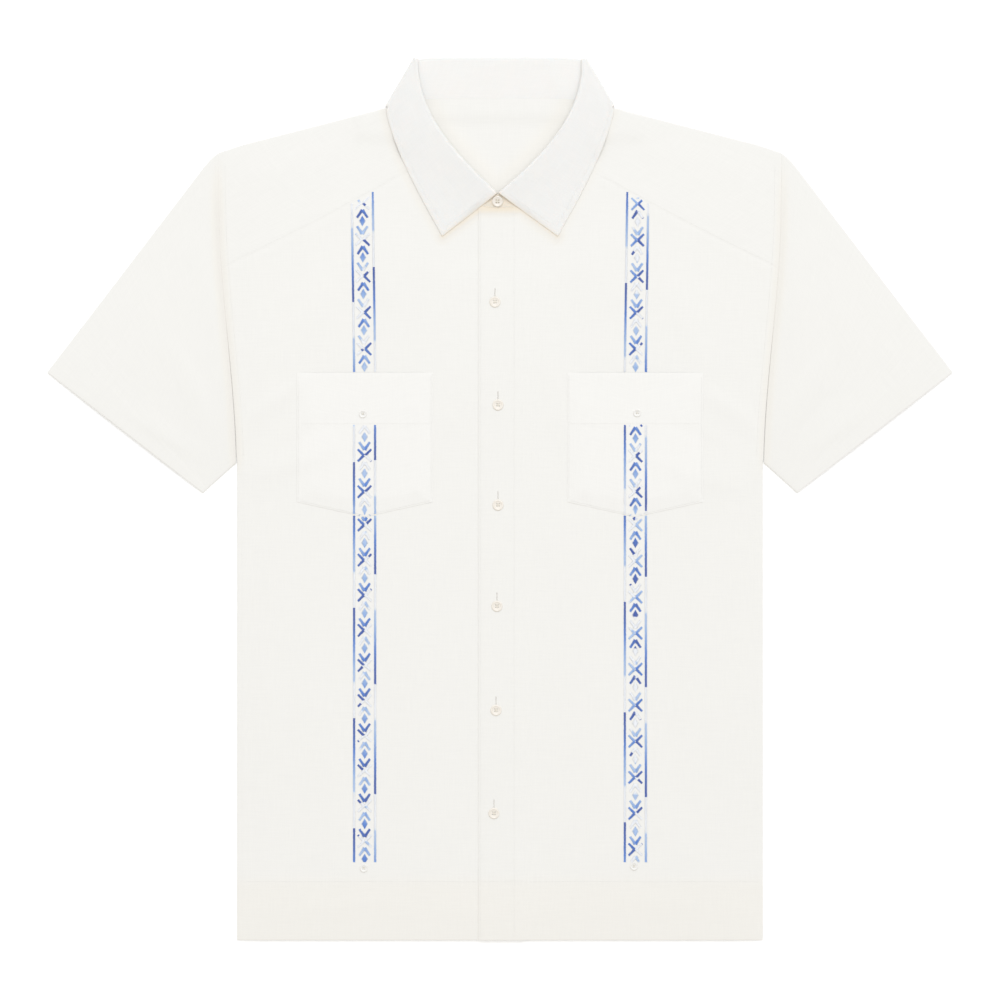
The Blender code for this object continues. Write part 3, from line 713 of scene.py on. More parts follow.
def collar_painted_shade(x, y):
    """Painted warm shade on the cloth beside the leaves' edges, where their shadow falls, more beside the
    wearer's right leaf.
    """
    share = np.linspace(0, 1, 24)[:, None]
    strength = recess_painted_shade(x, y)
    outer = leaf_outline(share), np.where(x < 0, *OUTER_PAINTED_SHADOW)
    front = lerp(LEAF_POINT, MEETING, share), FRONT_EDGE_PAINTED_SHADE
    for edge, shade_strength in (outer, front):
        # The painted shade beside this edge, strongest at it
        glow = shade_strength * np.exp(-((from_line(x, y, edge) / WARM_REACH) ** 2))
        strength = np.maximum(strength, glow)
    return strength


def recess_painted_shade(x, y):
    """Painted warm shade in the recess where the leaves meet: on the end of the band, and just below it.
    """
    up_and_down = near(y - MEETING[1], RECESS_FADE) * near(RECESS_LOW_Y - y, RECESS_FADE)
    return up_and_down * near(np.abs(x) - RECESS_HALF, 3 * RECESS_FADE)


# Materials


def add(tree, kind, inputs=None, **settings):
    """A shader node, with its inputs linked to sockets or set to values."""
    node = tree.nodes.new(kind)
    for key, value in settings.items():
        setattr(node, key, value)
    for key, value in (inputs or {}).items():
        if isinstance(value, bpy.types.NodeSocket):
            tree.links.new(value, node.inputs[key])
        else:
            node.inputs[key].default_value = value
    return node


def maths(tree, operation, *values, clamp=False):
    values = dict(enumerate(values))
    return add(tree, "ShaderNodeMath", values, operation=operation, use_clamp=clamp).outputs[0]


def vectors(tree, operation, a, b):
    return add(tree, "ShaderNodeVectorMath", {0: a, 1: b}, operation=operation).outputs[0]


def noise(tree, place, scale, detail, distortion=0.0):
    values = {"Vector": place, "Scale": scale, "Detail": detail, "Distortion": distortion}
    return add(tree, "ShaderNodeTexNoise", values).outputs


def ramp(tree, factor, colours):
    """A colour ramp through a table of places and colours."""
    made = add(tree, "ShaderNodeValToRGB", {0: factor})
    elements = made.color_ramp.elements
    while len(elements) < len(colours):
        elements.new(0.5)
    for element, (place, colour) in zip(elements, colours):
        element.position = place
        element.color = (*colour, 1)
    return made.outputs["Color"]


def tint(tree, shader, colour, shade):
    values = {0: colour, "Scale": shade}
    scaled = add(tree, "ShaderNodeVectorMath", values, operation="SCALE")
    tree.links.new(scaled.outputs[0], shader.inputs["Base Color"])


def bump(tree, shader, height, strength, distance):
    values = {"Strength": strength, "Distance": distance, "Height": height}
    tree.links.new(add(tree, "ShaderNodeBump", values).outputs[0], shader.inputs["Normal"])


def principled(name, **values):
    made = bpy.data.materials.new(name)
    made.use_nodes = True
    shader = made.node_tree.nodes["Principled BSDF"]
    for key, value in values.items():
        shader.inputs[key.replace("_", " ").title().replace("Ior", "IOR")].default_value = value
    return made, made.node_tree, shader


def cloth_material(name, colour, soak=0.0):
    """Plain-weave cloth. The attribute called cut gives places on the flat cloth, and a second one
    sets a slightly warmer tone where it is doubled, and painted shade, greyish and then warm, at
    seams, beside the collar's edges and in its recesses. soak lets light through it."""
    soaking = {"subsurface_weight": soak, "subsurface_radius": SOAK_RADIUS, "subsurface_scale": MM}
    made, tree, shader = principled(
        name, roughness=0.88, sheen_weight=0.12, sheen_roughness=0.5, specular_ior_level=0.25, **soaking
    )
    shader.subsurface_method = "BURLEY"
    flat = add(tree, "ShaderNodeAttribute", attribute_name="cut").outputs["Vector"]
    tint_and_painted_shade = add(tree, "ShaderNodeAttribute", attribute_name="tint_and_painted_shade").outputs["Fac"]
    wander = noise(tree, flat, scale=55.0, detail=2.0)["Color"]
    drift = vectors(tree, "MULTIPLY", wander, (YARN_DRIFT,) * 3)
    yarns = vectors(tree, "ADD", flat, drift)
    place = add(tree, "ShaderNodeSeparateXYZ", {0: yarns}).outputs
    warp, weft = (maths(tree, "SINE", maths(tree, "MULTIPLY", at, pi / YARN_PITCH)) for at in place[:2])
    over = maths(tree, "MULTIPLY_ADD", maths(tree, "MULTIPLY", warp, weft), 3.0, 0.5, clamp=True)
    crowns = {2: maths(tree, "ABSOLUTE", weft), 3: maths(tree, "ABSOLUTE", warp)}
    weave = add(tree, "ShaderNodeMix", {0: over, **crowns}).outputs[0]
    stretched = [vectors(tree, "MULTIPLY", yarns, stretch) for stretch in SLUB_STRETCHES]
    slub = maths(tree, "ADD", *(noise(tree, at, scale=1.0, detail=3.0)["Fac"] for at in stretched))
    cloudy = noise(tree, flat, scale=9.0, detail=3.0)["Fac"]
    height = maths(tree, "MULTIPLY_ADD", weave, 0.55, maths(tree, "MULTIPLY", slub, 0.5))
    bump(tree, shader, height, strength=0.32, distance=0.14 * MM)
    # The cloth's colour, tinted by the second attribute: warmer on doubled cloth, and painted shade
    # elsewhere
    tinted_and_shaded = ramp(tree, tint_and_painted_shade, [(at, np.multiply(colour, share)) for at, share in TINT_AND_SHADE_STOPS])
    shade = maths(tree, "MULTIPLY_ADD", cloudy, 0.012, 0.949)
    tint(tree, shader, tinted_and_shaded, maths(tree, "MULTIPLY_ADD", slub, 0.045, shade))
    tree.links.new(maths(tree, "MULTIPLY_ADD", slub, 0.08, 0.8), shader.inputs["Roughness"])
    return made


def thread_material(name, colours):
    """Twisted thread, coloured by its attribute called dye."""
    made, tree, shader = principled(
        name, roughness=0.55, sheen_weight=0.2, sheen_roughness=0.4, specular_ior_level=0.4
    )
    dye = add(tree, "ShaderNodeAttribute", attribute_name="dye").outputs["Fac"]
    position = add(tree, "ShaderNodeTexCoord").outputs["Object"]
    twist = {"Vector": position, "Scale": 900.0, "Distortion": 2.0, "Detail": 1.0}
    wave = add(tree, "ShaderNodeTexWave", twist, bands_direction="DIAGONAL").outputs["Fac"]
    bump(tree, shader, wave, strength=0.3, distance=0.06 * MM)
    tint(tree, shader, ramp(tree, dye, colours), maths(tree, "MULTIPLY_ADD", wave, 0.12, 0.92))
    return made


def pearl_material(name, dark, light):
    """Cloudy shell with a satin gloss, between two colours."""
    made, tree, shader = principled(name, roughness=0.34, coat_weight=0.3, coat_roughness=0.25)
    position = add(tree, "ShaderNodeTexCoord").outputs["Object"]
    clouds = noise(tree, position, scale=260.0, detail=3.0, distortion=1.4)["Fac"]
    colour = ramp(tree, clouds, ((0.35, dark), (0.65, light)))
    tree.links.new(colour, shader.inputs["Base Color"])
    return made


CLOTH = cloth_material("linen", (0.868, 0.860, 0.830))
POCKET_CLOTH = cloth_material("pocket_linen", (0.884, 0.876, 0.849))
# The band's linen is a lighter copy of the cloth: painted light, which offsets the shade the band lies in
# under the collar's roll
BAND_LIGHTENED = cloth_material("band_linen_painted_light", (0.890, 0.880, 0.858), 0.12)
TRIM = cloth_material("collar_linen", (0.850, 0.845, 0.828), 0.12)
DYED = thread_material(
    "dyed_thread",
    (
        (0.0, (0.93, 0.95, 0.985)),
        (0.2, (0.80, 0.87, 0.97)),
        (0.34, (0.44, 0.61, 0.90)),
        (0.66, (0.15, 0.31, 0.76)),
        (1.0, (0.10, 0.17, 0.51)),
    ),
)
SEWING = thread_material(
    "sewing_thread", ((0.0, (0.90, 0.89, 0.86)), (0.5, (0.90, 0.86, 0.80)), (1.0, (0.84, 0.78, 0.66)))
)
PEARL = pearl_material("pearl", (0.86, 0.85, 0.82), (0.92, 0.91, 0.885))
# A warmer, darker copy of the pearl for the front buttons and the collar button: painted warm shade
SHADED_PEARL = pearl_material("pearl_painted_shade", (0.855, 0.80, 0.72), (0.90, 0.855, 0.79))


# Making pieces


def placed(name, data):
    """An object made from some data, in the scene."""
    made = bpy.data.objects.new(name, data)
    bpy.context.scene.collection.objects.link(made)
    return made


def add_piece(name, mesh, material, location=(0, 0, 0)):
    mesh.materials.clear()
    mesh.materials.append(material)
    made = placed(name, mesh)
    made.location = location
    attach(made, "root")
    return made


def free_corners(quads):
    """The points along the free edges of a sheet of faces."""
    edges = np.concatenate([quads[:, [k, (k + 1) % 4]] for k in range(4)])
    edges, count = np.unique(np.sort(edges, axis=1), axis=0, return_counts=True)
    return np.unique(edges[count == 1])


def point_normals(points, quads):
    corners = points[quads]
    facing = np.cross(corners[:, 2] - corners[:, 0], corners[:, 3] - corners[:, 1])
    normals = np.zeros_like(points)
    for k in range(4):
        np.add.at(normals, quads[:, k], facing)
    return unit(normals)


def distance_to(points, chosen):
    tree = kdtree.KDTree(len(chosen))
    for number, point in enumerate(points[chosen]):
        tree.insert(point, number)
    tree.balance()
    return np.array([tree.find(point)[2] for point in points])


def flat_places(grid):
    """How far each grid point is along its row and its column: its place on the flat cloth."""
    across = np.linalg.norm(np.diff(grid, axis=1), axis=-1)
    along = np.linalg.norm(np.diff(grid, axis=0), axis=-1)
    u = np.concatenate([np.zeros((len(grid), 1)), across.cumsum(1)], axis=1)
    v = np.concatenate([np.zeros((1, grid.shape[1])), along.cumsum(0)])
    u -= u[:, [grid.shape[1] // 2]]
    return points_at(u, v)


def shell(
    node, grid, layers, material, present=None, tube=False, places=None, half=None, tint_and_painted_shade=0, beneath=None
):
    """The cloth that stands for a node: a closed shell round a grid of points, thicker where layers
    is 1, with round edges. beneath gives the tint and painted shade of its other side, where that
    differs. Returns the outer surface and its normals, as grids."""
    rows, columns = grid.shape[:2]
    index = np.arange(rows * columns).reshape(rows, columns)
    after = np.roll(index, -1, axis=1)
    quads = np.stack([index[:-1], after[:-1], after[1:], index[1:]], axis=-1)
    if not tube:
        quads = quads[:, :-1]
    quads = quads[present] if present is not None else quads.reshape(-1, 4)
    points = grid.reshape(-1, 3)
    normals = point_normals(points, quads)
    if normals[quads[:, 0]][:, 2].mean() < 0 and not tube:
        quads, normals = quads[:, ::-1], -normals
    edge = free_corners(quads)
    inward = np.clip(distance_to(points, edge) / EDGE_ROUND, 0, 1)
    layers, tint_and_painted_shade = (np.broadcast_to(values, (rows, columns)).ravel() for values in (layers, tint_and_painted_shade))
    beneath = tint_and_painted_shade if beneath is None else beneath.ravel()
    if half is None:
        half = THIN_HALF + (THICK_HALF - THIN_HALF) * layers
    offset = (half * np.sqrt(1 - (1 - inward) ** 2))[:, None] * normals

    used = np.unique(quads)
    inner = np.setdiff1d(used, edge)
    top = np.full(len(points), -1)
    top[used] = np.arange(len(used))
    bottom = top.copy()
    bottom[inner] = len(used) + np.arange(len(inner))
    corners = np.concatenate([(points + offset)[used], (points - offset)[inner]])
    faces = np.concatenate([top[quads], bottom[quads[:, ::-1]]])
    name = f"cloth_{node}"
    mesh = bpy.data.meshes.new(name)
    mesh.from_pydata(corners.tolist(), [], faces.tolist())
    mesh.shade_smooth()
    places = flat_places(grid) if places is None else places
    places = np.concatenate([places.reshape(-1, 2), np.zeros((len(points), 1))], axis=1)
    write_attribute(mesh, "cut", "FLOAT_VECTOR", "vector", places[np.concatenate([used, inner])])
    write_attribute(mesh, "tint_and_painted_shade", "FLOAT", "value", np.concatenate([tint_and_painted_shade[used], beneath[inner]]))
    piece = add_piece(name, mesh, material)
    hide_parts(node)
    return (points + offset).reshape(grid.shape), normals.reshape(grid.shape)


def write_attribute(mesh, name, kind, field, values):
    attribute = mesh.attributes.new(name, kind, "POINT")
    attribute.data.foreach_set(field, np.asarray(values, np.float32).ravel())


def strands(starts, ends, ups, radius, arch, sides=4, rings=3):
    """Stitches: each bows up from its start to its end and tapers into the cloth there. Returns
    their points, four-sided and three-sided faces, and how many points each has."""
    tangent = unit(ends - starts)
    aside = unit(np.cross(ups, tangent))
    up = np.cross(tangent, aside)
    t = np.linspace(0, 1, rings + 2)[1:-1]
    bow = np.sin(pi * t)
    centre = starts[:, None] + (ends - starts)[:, None] * t[:, None] + up[:, None] * (arch * bow)[:, None]
    angles = 2 * pi * np.arange(sides) / sides
    spoke = aside[:, None] * np.cos(angles)[:, None] + up[:, None] * np.sin(angles)[:, None]
    size = radius * lerp(STITCH_TAPER, 1, bow)
    ring = centre[:, :, None] + size[:, None, None] * spoke[:, None]
    count, each = len(starts), rings * sides + 2
    points = np.concatenate([ring.reshape(count, -1, 3), starts[:, None], ends[:, None]], axis=1)
    here = np.arange(each - 2).reshape(rings, sides)
    after = np.roll(here, -1, axis=1)
    quads = np.stack([here[:-1], after[:-1], after[1:], here[1:]], axis=-1)
    first = np.column_stack([after[0], here[0], np.full(sides, each - 2)])
    last = np.column_stack([here[-1], after[-1], np.full(sides, each - 1)])
    base = each * np.arange(count)[:, None, None]
    quads = (quads.reshape(-1, 4) + base).reshape(-1, 4)
    tips = (np.concatenate([first, last]) + base).reshape(-1, 3)
    return points.reshape(-1, 3), quads, tips, each


class Thread:
    """Stitches that are gathered and then made into one piece."""

    def __init__(self):
        self.starts, self.ends, self.ups, self.dyes = [], [], [], []

    def add(self, starts, ends, ups, dyes=0.0):
        starts = np.atleast_2d(starts)
        self.starts.append(starts)
        self.ends.append(np.atleast_2d(ends))
        self.ups.append(np.broadcast_to(ups, starts.shape))
        self.dyes.append(np.broadcast_to(dyes, len(starts)))

    def piece(self, name, material, slot, radius, arch):
        joined = [np.concatenate(part) for part in (self.starts, self.ends, self.ups)]
        points, quads, tips, each = strands(*joined, radius, arch)
        mesh = bpy.data.meshes.new(name)
        mesh.from_pydata(points.tolist(), [], quads.tolist() + tips.tolist())
        mesh.shade_smooth()
        write_attribute(mesh, "dye", "FLOAT", "value", np.repeat(np.concatenate(self.dyes), each))
        return add_piece(name, mesh, material)


def run(thread, path, ups):
    """A row of running stitches along a path of points that lie on the cloth."""
    path, ups = np.asarray(path), np.broadcast_to(ups, np.shape(path))
    length = np.concatenate([[0], np.linalg.norm(np.diff(path, axis=0), axis=-1).cumsum()])
    begin = np.arange(STITCH_PITCH / 2, length[-1] - STITCH_LENGTH, STITCH_PITCH)

    def at(values, where):
        return np.column_stack([np.interp(where, length, value) for value in values.T])

    up = unit(at(ups, begin + STITCH_LENGTH / 2))
    sunk = -STITCH_SINK * up
    thread.add(at(path, begin) + sunk, at(path, begin + STITCH_LENGTH) + sunk, up)


def on_cloth(plan, level, half=THICK_HALF, under=False):
    """Plan points laid on the upper or the under surface of a layer."""
    plan = np.asarray(plan, float)
    z = level(plan[:, 0], plan[:, 1])
    return np.column_stack([plan, z - half if under else z + half])


# The body


def make_back():
    height = BACK_YOKE_Y - HEM_Y
    v = stops(height, BACK_STEP, lines=(HEM_DEPTH, height - SEAM_DEPTH))
    u = stops(2 * CHEST_HALF, BACK_STEP)
    y = lerp(HEM_Y, BACK_YOKE_Y, v)
    edge = points_at(body_edge_x(y), y)
    edge[-1, 1] += SEAM_TUCK
    lower, upper = (points_at(lerp(-x, x, u), y) for x, y in (edge[0], edge[-1]))
    grid = lifted(patch(lower, upper, mirrored(edge, -1), edge, u, v), back_level)
    x, y = grid[..., 0], grid[..., 1]
    seams = (BACK_YOKE_Y - y, SEAM_DEPTH), (side_distance(x, y), SEAM_DEPTH)
    # The hem's doubled tone, and the armholes' tint with painted shade
    shell("back", grid, turned((y - HEM_Y, HEM_DEPTH), *seams), CLOTH, tint_and_painted_shade=hem_and_armhole_tint_and_shade(x, y))


def make_front(node, side, lap, level):
    near_x = lerp(-lap, YOKE_NECK_X, stops(YOKE_NECK_X + lap, last=False, lines=(PLACKET_WIDTH,)))
    t = stops(CHEST_HALF - YOKE_NECK_X, first=False)[1:]
    bottom = np.concatenate([near_x, lerp(YOKE_NECK_X, CHEST_HALF - GAP / 2, t)])
    lower = points_at(bottom, HEM_Y)
    neck = points_at(near_x, neckline_y(near_x, NECK_RADIUS + GAP) - GAP / 2)
    upper = np.concatenate([neck, yoke_seam(t, YOKE_TUCK)])
    height = upper[-1][1] - HEM_Y
    v = stops(height, lines=(HEM_DEPTH, height - SEAM_DEPTH))
    left = lerp(lower[0], upper[0], v[:, None])
    right = body_edge(lerp(HEM_Y, upper[-1][1], v), lower[-1], upper[-1], v)
    u = (bottom - bottom[0]) / (bottom[-1] - bottom[0])
    grid = lifted(patch(lower, upper, left, right, u, v), level, side)
    x, y = side * grid[..., 0], grid[..., 1]
    below_seam = yoke_seam_y(x) - y
    grid[..., 2] -= YOKE_UNDER * near(below_seam, YOKE_LEAD) * (x > YOKE_NECK_X)
    at_seam = np.where(x > YOKE_NECK_X, below_seam, np.inf)
    seams = (at_seam, SEAM_DEPTH), (side_distance(x, y), SEAM_DEPTH)
    layers = turned((y - HEM_Y, HEM_DEPTH), (x + lap, PLACKET_WIDTH), *seams)
    # The hem's doubled tone, and painted shade at the armhole and round the collar's edges
    shell(node, grid, layers, CLOTH, tint_and_painted_shade=front_tint_and_shade(grid[..., 0], y))


def shoulder_fold(x):
    """The middle of the fold over the shoulder, in plan, and the way it faces."""
    slope = (shoulder_y(x + MM) - shoulder_y(x - MM)) / (2 * MM)
    outward = unit(points_at(-slope, 1.0))
    y = shoulder_y(x)
    low, high = back_level(x, y - FOLD_REACH), front_level(x, y - FOLD_REACH)
    point = points_at(x, y) - outward * ((high - low) / 2 + WALL / 2)[:, None]
    return point, np.column_stack([outward, np.zeros(len(x))])


def yoke_shoulder(crest, outward, u, v):
    """One shoulder as one grid: the back yoke, the fold along crest, and the front end."""
    neck_corner, arm_corner = crest[0], crest[-1]
    inner = points_at(neck_corner[0], lerp(YOKE_FOOT_Y, neck_corner[1], v))
    foot = np.array((body_edge_x(YOKE_FOOT_Y), YOKE_FOOT_Y))
    arm = body_edge(lerp(YOKE_FOOT_Y, arm_corner[1], v), foot, arm_corner, v)
    lower = lerp(inner[0], foot, u[:, None])
    back = lifted(patch(lower, crest, inner, arm, u, v), back_level)

    seam = yoke_seam(u, -YOKE_TUCK)
    w = stops(neck_corner[1] - seam[0, 1], first=False)
    y = lerp(neck_corner[1], seam[0, 1], w)
    neck = points_at(np.sqrt((NECK_RADIUS + GAP) ** 2 - (NECK_Y - y) ** 2), y)
    neck = ending_at(neck, neck_corner, seam[0], w)
    arm = body_edge(lerp(arm_corner[1], YOKE_ARM_Y, w), arm_corner, seam[-1], w)
    front = lifted(patch(crest, seam, neck, arm, u, w), front_level)

    low, high = back[-1, :, 2], front[0, :, 2]
    radius, middle = ((high - low) / 2)[:, None], np.column_stack([crest, (high + low) / 2])
    bend = [middle + radius * (outward * cos(a) + UP * sin(a)) for a in YOKE_BEND]
    return np.concatenate([back[:-1], bend, front[1:]])


def yoke_centre(v, reach, corner_y):
    """The middle of the back yoke, below the back of the neck."""
    x = np.linspace(-reach, reach, int(2 * reach / GRID_STEP))
    top = BACK_NECK_Y - GAP
    upper = points_at(x, top - (top - corner_y) * np.abs(x / reach) ** NECK_CURVE)
    side = points_at(reach, lerp(YOKE_FOOT_Y, corner_y, v))
    u = (x + reach) / (2 * reach)
    plan = patch(points_at(x, YOKE_FOOT_Y), upper, mirrored(side, -1), side, u, v)
    return lifted(plan, back_level)


def make_yoke():
    """The back yoke, its folds over the shoulders, and its two front ends, as one piece."""
    start, end = NECK_RADIUS + GAP, SHOULDER_HALF + SEAM_TUCK
    u = stops(end - start)
    crest, outward = shoulder_fold(lerp(start, end, u))
    v = stops(crest[0, 1] - YOKE_FOOT_Y, lines=(SEAM_DEPTH,))
    shoulder = yoke_shoulder(crest, outward, u, v)
    left = lifted_mirror(shoulder)
    centre = yoke_centre(v, *crest[0])
    filler = np.repeat(centre[-1:], len(shoulder) - len(centre), axis=0)
    grid = np.concatenate([left[:, :0:-1], np.concatenate([centre, filler]), shoulder[:, 1:]], axis=1)

    neck_row = len(v) - 1
    first, last = len(u) - 1, len(u) + centre.shape[1] - 3
    grid[neck_row:, first] = left[neck_row:, 0]
    grid[neck_row:, last + 1] = shoulder[neck_row:, 0]
    row, column = np.mgrid[0 : len(grid) - 1, 0 : grid.shape[1] - 1]
    present = ~((row >= neck_row) & (column >= first) & (column <= last))

    x, y = grid[..., 0], grid[..., 1]
    on_front = (np.arange(len(grid)) > neck_row + len(YOKE_BEND) // 2)[:, None]
    seam_side = np.where(on_front, y - yoke_seam_y(x), y - BACK_YOKE_Y)
    layers = turned((seam_side, SEAM_DEPTH), (side_distance(x, y), SEAM_DEPTH))
    # Painted shade on the inside of the back beside the roll of the collar, more on the wearer's left,
    # and not on its other side; the front rows take the fronts' tint and painted shade
    inside = np.where(x < 0, *INNER_PAINTED_SHADE) * inner_roll(x, y)
    tint_and_painted_shade = np.where(on_front, front_tint_and_shade(x, y), inside)
    shell("yoke", grid, layers, CLOTH, present=present, tint_and_painted_shade=tint_and_painted_shade, beneath=tint_and_painted_shade * on_front)


def lifted_mirror(grid):
    """The other shoulder: mirrored, with its own creases in its front rows."""
    other = mirrored(grid, -1)
    here = front_level(grid[..., 0], grid[..., 1])
    there = front_level(other[..., 0], other[..., 1])
    on_front = np.isclose(grid[..., 2], here)
    other[..., 2] += np.where(on_front, there - here, 0)
    return other


# The sleeves


def sleeve_top(s):
    """The outline of the sleeve's upper fold, from the shoulder to the tip of the cuff."""
    start = np.array((SHOULDER_HALF - SEAM_TUCK, shoulder_y(SHOULDER_HALF)))
    if s > CAP_SHARE:
        return lerp(CAP_END, SLEEVE_TIP, (s - CAP_SHARE) / (1 - CAP_SHARE))
    t = s / CAP_SHARE
    return start * (1 - t) ** 2 + 2 * t * (1 - t) * np.array(CAP_TURN) + t**2 * np.array(CAP_END)


def sleeve_plan(s, t):
    """A sleeve in plan: rows from its upper fold to its lower one, from the armhole to the cuff."""
    top = np.array([sleeve_top(share) for share in s])
    armpit = (CHEST_HALF + GAP + WALL / 2, ARMPIT_Y)
    under = lerp(armpit, CUFF_UNDER, s[:, None])
    y = lerp(top[0][1], ARMPIT_Y, t)
    armhole = ending_at(points_at(armhole_x(y) - SEAM_TUCK, y), top[0], armpit, t)
    cuff = lerp(SLEEVE_TIP, CUFF_UNDER, t[:, None])
    return patch(top, under, armhole, cuff, s, t).transpose(1, 0, 2)


def sleeve_lift(x, y, from_arm, creases):
    """How far a sleeve's top layer rises off its lower one, midway between its folds."""
    from_cuff = SLEEVE_LENGTH - from_arm
    lift = SLEEVE_AIR * smooth(from_arm / AIR_LEAD)
    lift = lift + creased(x, y, creases) * smooth(from_arm / (AIR_LEAD / 2))
    lift += puckers(x - y, from_cuff - CUFF_DEPTH, "cuff") + puckers(y, from_arm, "side")
    return lift - ARMHOLE_DROP * near(from_arm, SEAM_ROLL) - EDGE_DROP * near(from_cuff, CUFF_ROLL)


def make_sleeve(node, side, creases, sewing):
    """A flattened tube: each row is a ring that runs over the top layer and back underneath."""
    s = stops(SLEEVE_LENGTH, lines=(SLEEVE_LENGTH - CUFF_DEPTH,))
    t = np.linspace(0, 1, int(SLEEVE_WIDTH / GRID_STEP))
    plan, from_arm = sleeve_plan(s, t), s * SLEEVE_LENGTH
    radius, middle = PITCH / 2, (LOW + MID) / 2

    def fold(edge, beside, angles):
        outward = unit(plan[:, edge] - plan[:, beside])
        outward = np.column_stack([outward, np.zeros(len(s))])
        axis = np.column_stack([plan[:, edge], np.full(len(s), middle)]) - outward * (radius + WALL / 2)
        return np.stack([axis + radius * (outward * cos(a) + UP * sin(a)) for a in angles], axis=1)

    inner = plan[:, 1:-1]
    lift = sleeve_lift(side * inner[..., 0], inner[..., 1], from_arm[:, None], creases)
    over = np.dstack([inner, middle + radius + np.sin(pi * t[1:-1]) ** SLEEVE_CURVE * lift])
    below = np.dstack([inner, np.full(lift.shape, middle - radius)])[:, ::-1]
    grid = np.concatenate([over, fold(-1, -2, SLEEVE_BEND), below, fold(0, 1, SLEEVE_BEND[::-1])], axis=1)
    width = np.linalg.norm(plan - plan[:, :1], axis=-1)
    at_fold = np.ones(len(SLEEVE_BEND))
    across = [width[:, 1:-1], width[:, -1:] * at_fold, width[:, -2:0:-1], width[:, :1] * at_fold]
    places = points_at(np.concatenate(across, axis=1), from_arm[:, None])
    grid = mirrored(grid, side)
    if side > 0:
        grid, places = grid[:, ::-1], places[:, ::-1]

    from_cuff = SLEEVE_LENGTH - from_arm
    layers = turned((from_cuff, CUFF_DEPTH), (from_arm, SEAM_DEPTH))[:, None]
    # The seam allowances at the armhole showing through, with painted shade along the seam
    tint_and_painted_shade = armhole_tint_and_shade(grid[..., 0], grid[..., 1])
    surface, normals = shell(node, grid, layers, CLOTH, tube=True, places=places, tint_and_painted_shade=tint_and_painted_shade)
    row = int(np.argmin(np.abs(from_cuff - CUFF_DEPTH + CUFF_STITCH)))
    run(sewing, surface[row], normals[row])


# The collar. A station is a place along it, in the middle of its walls: the band runs from neck to
# crest, and the fall turns over the crest in a roll and ends at edge. radial points from the band
# to the fall, and bulge points out of the roll.
Station = namedtuple("Station", "neck crest radial bulge roll edge sag", defaults=(0.0,))


def side_folds():
    """The axes of the two nested side folds, each from its lower to its upper end."""
    corner = np.array((COLLAR_CORNER_X, COLLAR_TOP_Y, 0))
    roll = (FALL_FOLD - STAND_FOLD) / 2
    top = corner - SIDE_OUT * (FALL_FOLD + WALL / 2) - SIDE_UP * (roll + WALL / 2 + GAP)
    top[2] = FOLD_LEVEL
    neck = np.array((*STAND_NECK, (MID + HIGH) / 2))
    low_fold = (HIGH + PITCH - LOW) / 2
    edge = np.array((*LEAF_SIDE, 0)) - SIDE_OUT * (low_fold + WALL / 2)
    edge[2] = LOW + low_fold
    return neck, top, edge, low_fold


def back_stations():
    """From the centre back to the side fold."""
    neck_end, crest_end, edge_end, _ = side_folds()
    made = []
    for b in np.linspace(0, 1, BACK_STATIONS):
        y = BACK_NECK_Y - (BACK_NECK_Y - neck_end[1]) * b**NECK_CURVE
        crest_level = lerp(BACK_CREST, FOLD_LEVEL - STAND_FOLD, b**CREST_CURVE)
        roll = (crest_level - LOW) / 2
        level_top = COLLAR_TOP_Y - (roll + WALL / 2 + GAP)
        crest = np.array((b * crest_end[0], lerp(level_top, crest_end[1], b**CORNER_CURVE), crest_level))
        edge = np.array((b * edge_end[0], lerp(LEAF_BACK_Y, edge_end[1], b), LOW))
        neck = np.array((b * neck_end[0], y, MID))
        bulge = unit(lerp((0, 1, 0), SIDE_UP, b**CORNER_CURVE))
        made.append(Station(neck, crest, -UP, bulge, roll, edge))
    return made


def fold_stations():
    """Round the side fold, from its underside to its top, without its two ends."""
    neck, crest, edge, low_fold = side_folds()
    roll = (FALL_FOLD - STAND_FOLD) / 2
    made = []
    for angle in np.linspace(-pi / 2, pi / 2, FOLD_STATIONS)[1:-1]:
        radial = SIDE_OUT * cos(angle) + UP * sin(angle)
        band = neck + radial * PITCH / 2, crest + radial * STAND_FOLD
        made.append(Station(*band, radial, SIDE_UP, roll, edge + radial * low_fold))
    return made


def neck_point(u, end_x):
    """The front neckline under a leaf, from the side fold to the centre."""
    turn = smooth(NECK_TURN * u)
    radius = lerp(STAND_NECK[0], NECK_RADIUS - GAP, turn)
    angle = np.arccos(end_x / radius) * u**NECK_SHARE_CURVE
    drop = (STAND_NECK[1] - NECK_Y) * (1 - turn)
    return np.array((radius * cos(angle), NECK_Y + drop - radius * sin(angle)))


